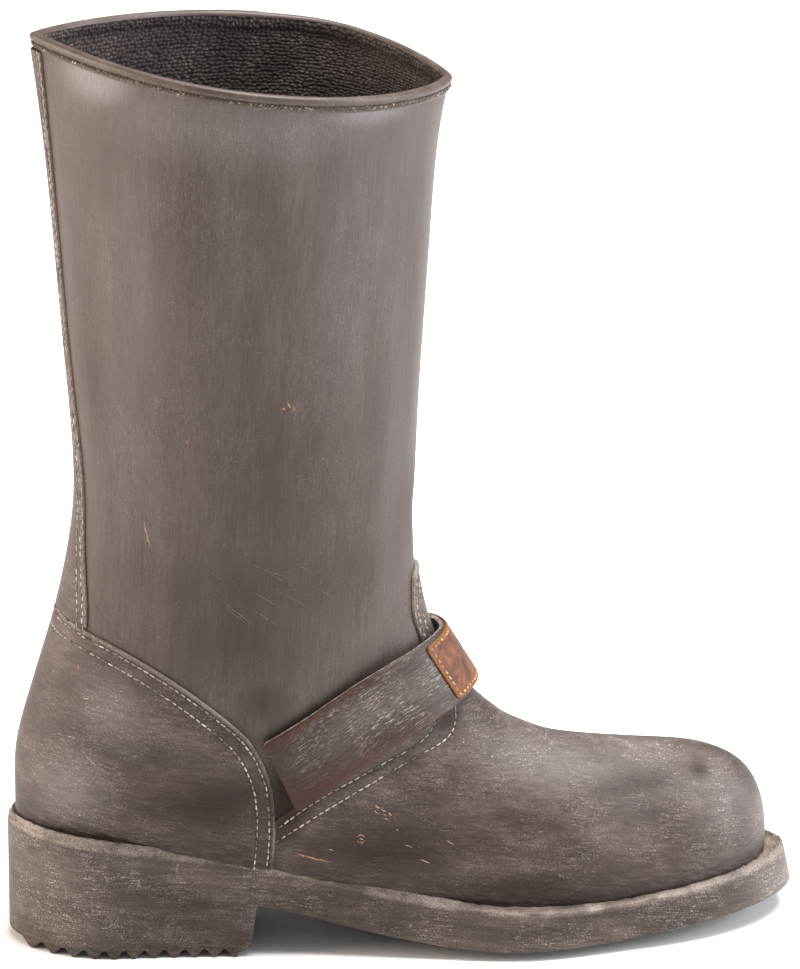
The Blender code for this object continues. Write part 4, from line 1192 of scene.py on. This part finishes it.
treadShape = {"ridgeCount": 11, "ridgeFirst": 6.6, "ridgePitch": 7.47, "ridgeBase": 6.4, "ridgeTip": 0.8,
              "ridgeRoot": 0.8, "ridgeInset": 0.05, "ridgeBand": (-2, 12),
              "barCount": 9, "barFirst": 140, "barPitch": 13.6, "barLength": 8.5, "barDepth": 4.3,
              "barRoot": 2.0, "barInset": 12, "barBand": (-4, 30), "halfWide": 70.0, "outlineSteps": 110}


def newGroup(name, sockets):
    tree = bpy.data.node_groups.new(name, "GeometryNodeTree")
    for label, kind in {"Geometry": "Geometry", **sockets}.items():
        tree.interface.new_socket(label, in_out="INPUT", socket_type="NodeSocket" + kind)
    tree.interface.new_socket("Geometry", in_out="OUTPUT", socket_type="NodeSocketGeometry")
    return tree, addNode(tree, "NodeGroupInput").outputs


def closeGroup(tree, geometry, material):
    coated = addNode(tree, "GeometryNodeSetMaterial", {"Material": material}, {"Geometry": geometry})
    addNode(tree, "NodeGroupOutput", None, {0: coated.outputs[0]})
    return tree


def treadTree(material):
    tree, given = newGroup("treadBlocks", {"Block": "Object", "Outline": "Object"})
    block = addNode(tree, "GeometryNodeObjectInfo", None, {"Object": given["Block"]})
    outline = addNode(tree, "GeometryNodeObjectInfo", None, {"Object": given["Outline"]})
    tilt = addNode(tree, "GeometryNodeInputNamedAttribute", {"data_type": "FLOAT_VECTOR", "Name": "tilt"})
    spots = addNode(tree, "GeometryNodeMeshToPoints", None, {"Mesh": given["Geometry"]})
    blocks = addNode(tree, "GeometryNodeInstanceOnPoints", None, {
        "Points": spots.outputs[0], "Instance": block.outputs["Geometry"], "Rotation": tilt.outputs[0]})
    real = addNode(tree, "GeometryNodeRealizeInstances", None, {0: blocks.outputs[0]})
    trimmed = addNode(tree, "GeometryNodeMeshBoolean", {"operation": "INTERSECT"})
    for solid in (outline.outputs["Geometry"], real.outputs[0]):
        tree.links.new(solid, trimmed.inputs["Mesh 2"])
    return closeGroup(tree, trimmed.outputs[0], material)


def bakeNodes(name, source, tree, given):
    # runs a node tree on a mesh and keeps the result as a plain mesh
    modifier = source.modifiers.new("nodes", "NODES")
    modifier.node_group = tree
    for item in tree.interface.items_tree:
        if item.item_type == "SOCKET" and item.in_out == "INPUT" and item.name in given:
            modifier[item.identifier] = given[item.name]
    bpy.context.view_layer.update()
    graph = bpy.context.evaluated_depsgraph_get()
    piece = addObject(name, bpy.data.meshes.new_from_object(source.evaluated_get(graph)))
    helpers = [value for value in given.values() if isinstance(value, bpy.types.Object)]
    for helper in (source, *helpers):
        bpy.data.objects.remove(helper)
    return piece


def prismFaces(count):
    sides = [[p, (p + 1) % count, count + (p + 1) % count, count + p] for p in range(count)]
    return sides + [list(range(count))[::-1], list(range(count, 2 * count))]


def makeTread(name, inset, band, spots, tilts, profile):
    ring = solePlan(inset, soleX(inset, treadShape["outlineSteps"]))[0]
    low, high = [np.column_stack((ring, np.full(len(ring), z))) for z in band]
    outline = addMesh("outline", place(np.vstack((low, high))), prismFaces(len(ring)))
    near = np.array([(x, treadShape["halfWide"], z) for x, z in profile])
    block = addMesh("block", np.vstack((near, near * (1, -1, 1))) * mm, prismFaces(len(profile)))
    places = addMesh("places", place(spots), [])
    writeValues(places.data, {"tilt": tilts})
    piece = bakeNodes(name, places, treadTree(soleRubber), {"Block": block, "Outline": outline})
    writeValues(piece.data, {"fromTop": np.full(len(piece.data.vertices), soleMesh["underside"])})
    finishPiece(piece, ["outsole"])


def makeTreads():
    t = treadShape
    ridgeX = t["ridgeFirst"] + t["ridgePitch"] * np.arange(t["ridgeCount"])
    base, tip, foot = t["ridgeBase"] / 2, t["ridgeTip"] / 2, soleShape["heelRoot"]
    ridge = ((-base, foot), (-tip, 0.0), (tip, 0.0), (base, foot), (base, foot + t["ridgeRoot"]),
             (-base, foot + t["ridgeRoot"]))
    zero = np.zeros_like(ridgeX)
    spots = np.column_stack((ridgeX, zero + origin[1], zero))
    makeTread("heelRidges", t["ridgeInset"], t["ridgeBand"], spots, np.zeros_like(spots), ridge)
    barX = t["barFirst"] + t["barPitch"] * np.arange(t["barCount"])
    half, deep = t["barLength"] / 2, t["barDepth"] + t["barRoot"]
    low = np.maximum(underAt(np.column_stack((barX - half, barX + half))) - t["barDepth"], 0.0)
    slope = np.arctan2(low[:, 1] - low[:, 0], t["barLength"])
    zero = np.zeros_like(barX)
    spots = np.column_stack((barX, zero + origin[1], low.mean(axis=1)))
    makeTread("forefootBars", t["barInset"], t["barBand"], spots, np.column_stack((zero, -slope, zero)),
              ((-half, 0), (half, 0), (half, deep), (-half, deep)))


makeTreads()

# insole: felt sock laid over the sole inside the wall

sockShape = {"thick": 3.5, "low": 0.4, "clear": 0.4, "crown": 1.0, "fromX": 5.5, "toX": 282.5, "castUp": 2.0,
             "leastWide": 8, "stations": 110, "columns": 20}


def makeSock():
    s = sockShape
    tree = skinTree(upperSkin["points"] - upperSkin["normals"] * upperWall["thick"], upperSkin["faces"])
    soleRows = np.array(soleShape["stations"], float)
    lines = []
    for x in np.linspace(s["fromX"], s["toX"], s["stations"]):
        ledge = float(ledgeAt(x))
        middle = Vector((x, smoothAt(soleRows[:, 0], soleRows[:, 1], x)[0, 0], ledge + s["castUp"]))
        left, right = [tree.ray_cast(middle, Vector((0, side, 0)))[0] for side in (-1, 1)]
        if left is not None and right is not None:
            a, b = left[1] + s["clear"], right[1] - s["clear"]
            if b - a > s["leastWide"]:
                lines.append((x, a, b, ledge))
    x, a, b, ledge = np.array(lines).T[..., None]
    across = np.linspace(0, 1, s["columns"] + 1)
    y = a + (b - a) * across
    edge = np.minimum(across, 1 - across) * 2
    height = ledge + s["thick"] - s["crown"] * (1 - rounded(edge, 1))
    grid = np.stack((np.broadcast_to(x, y.shape), y, np.broadcast_to(height, y.shape)), axis=-1)
    index = np.arange(y.size).reshape(y.shape)
    skin = {"points": grid.reshape(-1, 3), "normals": np.tile((0.0, 0.0, 1.0), (y.size, 1)),
            "faces": np.stack((index[:-1, :-1], index[1:, :-1], index[1:, 1:], index[:-1, 1:]),
                              axis=-1).reshape(-1, 4).tolist()}
    points, faces = thicken(skin, 0.0, -(s["thick"] - s["low"] - s["crown"]))
    piece = makePiece("sock", points, faces, [sockFelt], {"knit": points})
    finishPiece(piece, ["insole"])


makeSock()

# stitches: one short thread, set along every seam by nodes

stitchShape = {
    "seam": {"pitch": 2.8, "length": 2.2, "radius": 0.28, "sunk": -0.05, "slant": 0.0, "seed": 3},
    "patch": {"pitch": 2.6, "length": 1.9, "radius": 0.48, "sunk": -0.05, "slant": 0.0, "seed": 5},
    "rope": {"pitch": 1.5, "length": 2.6, "radius": 0.6, "sunk": 0.0, "slant": 0.55, "seed": 7},
    "wobble": 0.09, "sizes": (0.85, 1.1), "rings": 7, "sides": 6, "endPlump": 0.06, "dive": 0.35,
}


def stitchTree(material):
    tree, given = newGroup("stitchRow", {"Stitch": "Object", "Pitch": "Float", "Slant": "Float",
                                         "Seed": "Int"})
    wobble, (small, large) = stitchShape["wobble"], stitchShape["sizes"]
    curve = addNode(tree, "GeometryNodeMeshToCurve", None, {"Mesh": given["Geometry"]})
    evenly = addNode(tree, "GeometryNodeResampleCurve", {"mode": "LENGTH"},
                     {"Curve": curve.outputs[0], "Length": given["Pitch"]})
    normal = addNode(tree, "GeometryNodeInputNamedAttribute", {"data_type": "FLOAT_VECTOR",
                                                               "Name": "surfaceNormal"})
    run = addNode(tree, "GeometryNodeInputTangent")
    lying = addNode(tree, "FunctionNodeAxesToRotation", {"primary_axis": "Z", "secondary_axis": "X"},
                    {0: normal.outputs[0], 1: run.outputs[0]})
    shake = addNode(tree, "FunctionNodeRandomValue", {"data_type": "FLOAT", 2: -wobble, 3: wobble},
                    {"Seed": given["Seed"]})
    slant = addNode(tree, "ShaderNodeMath", {"operation": "ADD"}, {0: shake.outputs[1], 1: given["Slant"]})
    turned = addNode(tree, "ShaderNodeCombineXYZ", None, {"Z": slant.outputs[0]})
    turned = addNode(tree, "FunctionNodeEulerToRotation", None, {0: turned.outputs[0]})
    skew = addNode(tree, "FunctionNodeRotateRotation", {"rotation_space": "LOCAL"},
                   {0: lying.outputs[0], 1: turned.outputs[0]})
    size = addNode(tree, "FunctionNodeRandomValue", {"data_type": "FLOAT", 2: small, 3: large},
                   {"Seed": given["Seed"]})
    thread = addNode(tree, "GeometryNodeObjectInfo", None, {"Object": given["Stitch"]})
    row = addNode(tree, "GeometryNodeInstanceOnPoints", None, {
        "Points": evenly.outputs[0], "Instance": thread.outputs["Geometry"], "Rotation": skew.outputs[0],
        "Scale": size.outputs[1]})
    real = addNode(tree, "GeometryNodeRealizeInstances", None, {0: row.outputs[0]})
    return closeGroup(tree, real.outputs[0], material)


def stitchBlank(look):
    # a plump thread that dives into its holes at both ends
    rings, sides = stitchShape["rings"], stitchShape["sides"]
    points = []
    for a in np.linspace(-0.5, 0.5, rings):
        plump = look["radius"] * math.sqrt(max(1 - (2 * a) ** 4, stitchShape["endPlump"]))
        dive = look["sunk"] + stitchShape["dive"] * look["radius"] * (2 * a) ** 4
        for turn in 2 * math.pi * np.arange(sides) / sides:
            points.append((a * look["length"], plump * math.cos(turn), plump * math.sin(turn) - dive))
    faces = [[r + sides + k, r + sides + (k + 1) % sides, r + (k + 1) % sides, r + k]
             for r in range(0, (rings - 1) * sides, sides) for k in range(sides)]
    faces += [list(range(sides)), list(range((rings - 1) * sides, rings * sides))[::-1]]
    return addMesh("stitchBlank", np.array(points) * mm, faces)


def stitchRows(name, rows, look, material):
    edges, base = [], 0
    for row, _ in rows:
        edges += [(base + k, base + k + 1) for k in range(len(row) - 1)]
        base += len(row)
    source = addMesh("rows", place(np.vstack([row for row, _ in rows])), [], edges)
    writeValues(source.data, {"surfaceNormal": np.vstack([normals for _, normals in rows])})
    given = {"Stitch": stitchBlank(look), "Pitch": look["pitch"] * mm, "Slant": look["slant"],
             "Seed": look["seed"]}
    piece = bakeNodes(name, source, stitchTree(material), given)
    piece.data.shade_smooth()
    finishPiece(piece)


allSeams = [row for rows in seamRows.values() for row in rows]
stitchRows("seamStitches", allSeams, stitchShape["seam"], seamThread)
stitchRows("patchStitches", [patchRow], stitchShape["patch"], patchThread)
stitchRows("collarRope", [ropeRow], stitchShape["rope"], ropeThread)

# scuffs: thin slivers rubbed bare on the outer side, as side-view lines in millimetres

scuffShape = {"seed": 11, "step": 0.7, "shake": 0.12, "taper": 0.12, "wide": (0.5, 1.1), "under": 0.05,
              "crown": 0.09, "castFrom": -150}
scuffs = {
    "tan": [((100.6, 222.0), (101.8, 219.6)), ((102.5, 221.2), (103.4, 218.9), (102.2, 218.2)),
            ((98.8, 219.9), (99.9, 219.2)), ((64.2, 207.6), (64.9, 205.8)),
            ((48.9, 174.5), (50.2, 168.5), (51.3, 163.2)), ((25.0, 115.0), (25.2, 112.6)),
            ((126.4, 48.3), (128.0, 49.2), (129.6, 48.3)), ((126.6, 46.6), (128.2, 45.8), (129.6, 46.8)),
            ((127.5, 47.7), (128.7, 47.2)), ((133.5, 60.2), (135.2, 59.4)), ((136.6, 56.9), (137.6, 56.2)),
            ((160.0, 45.6), (161.0, 45.3)), ((145.2, 269.6), (145.9, 268.4)),
            ((104.0, 41.8), (111.0, 39.8), (117.0, 38.0))],
    "pale": [((48.4, 179.0), (48.9, 174.5)), ((51.3, 163.2), (52.3, 159.2), (52.9, 156.6)),
             ((65.4, 207.0), (65.6, 206.0)), ((82.4, 147.4), (84.2, 150.4)),
             ((31.7, 137.7), (36.5, 131.5), (40.9, 126.5)), ((34.2, 138.4), (39.2, 131.8)),
             ((65.0, 229.4), (66.0, 228.2)), ((48.2, 233.3), (49.1, 232.5)), ((61.8, 287.2), (62.4, 286.0)),
             ((82.9, 285.0), (83.5, 283.8)), ((85, 160), (94, 155.5), (102, 152)),
             ((74, 147), (82, 140), (91, 132)), ((88, 148), (100, 139.5)), ((104, 158), (112, 152)),
             ((70, 158), (79, 151)), ((92, 156), (103, 149)), ((95, 149), (108, 140)), ((78, 142), (86, 135)),
             ((100, 146), (111, 138)), ((112, 147), (120, 141)), ((89, 140), (97, 134))],
    "cream": [((26.4, 102.6), (28.8, 102.9)), ((28.8, 100.8), (27.4, 98.6), (27.8, 97.4)),
              ((16.8, 87.4), (19.6, 87.0)), ((20.4, 87.2), (23.8, 86.6)), ((17.5, 85.6), (20.0, 85.2)),
              ((25.6, 83.6), (26.8, 81.2), (28.6, 79.0), (31.1, 76.1)), ((133, 58.4), (134.6, 57.4)),
              ((135.4, 59.0), (137.2, 57.8)), ((136.2, 55.4), (138.6, 54.6)), ((138.4, 57.4), (139.6, 56.4)),
              ((144.6, 44.6), (147.2, 43.6)), ((160.6, 45.2), (162.8, 43.8)), ((116, 43.6), (118, 43.0)),
              ((141.0, 50.9), (142.1, 50.2)), ((150.0, 38.7), (153.7, 37.2))],
}


def makeScuffs(name, lines, width, material):
    s = scuffShape
    random = np.random.default_rng(s["seed"])
    skins = (*panelTops.values(), upperTree)
    points, faces = [], []
    for line in lines:
        drawn = evenPath(np.array(line, float), s["step"])
        found = []
        for x, z in drawn + random.normal(0, s["shake"], (len(drawn), 2)):
            hits = [tree.ray_cast(Vector((x, s["castFrom"], z)), Vector((0, 1, 0))) for tree in skins]
            found.append(min((hit for hit in hits if hit[0] is not None), key=lambda hit: hit[3]))
        spots, normals = np.array([hit[0] for hit in found]), np.array([hit[1] for hit in found])
        beside = unit(np.cross(normals, np.gradient(spots, axis=0)))
        taper = np.sin(np.linspace(s["taper"], math.pi - s["taper"], len(spots)))
        half = (width * taper * random.uniform(*s["wide"], len(spots)))[:, None]
        base = len(points)
        for across in zip(spots + beside * half - normals * s["under"], spots + normals * s["crown"],
                          spots - beside * half - normals * s["under"]):
            points += across
        for a in range(base, len(points) - 3, 3):
            faces += [[a + 3, a + 4, a + 1, a], [a + 4, a + 5, a + 2, a + 1]]
    finishPiece(makePiece(name, points, faces, [material]))


makeScuffs("tanScuffs", scuffs["tan"], 0.5, tanScuff)
makeScuffs("paleScuffs", scuffs["pale"], 0.15, paleScuff)
makeScuffs("creamScuffs", scuffs["cream"], 0.24, creamScuff)

# bring the scene up to date

bpy.context.view_layer.update()
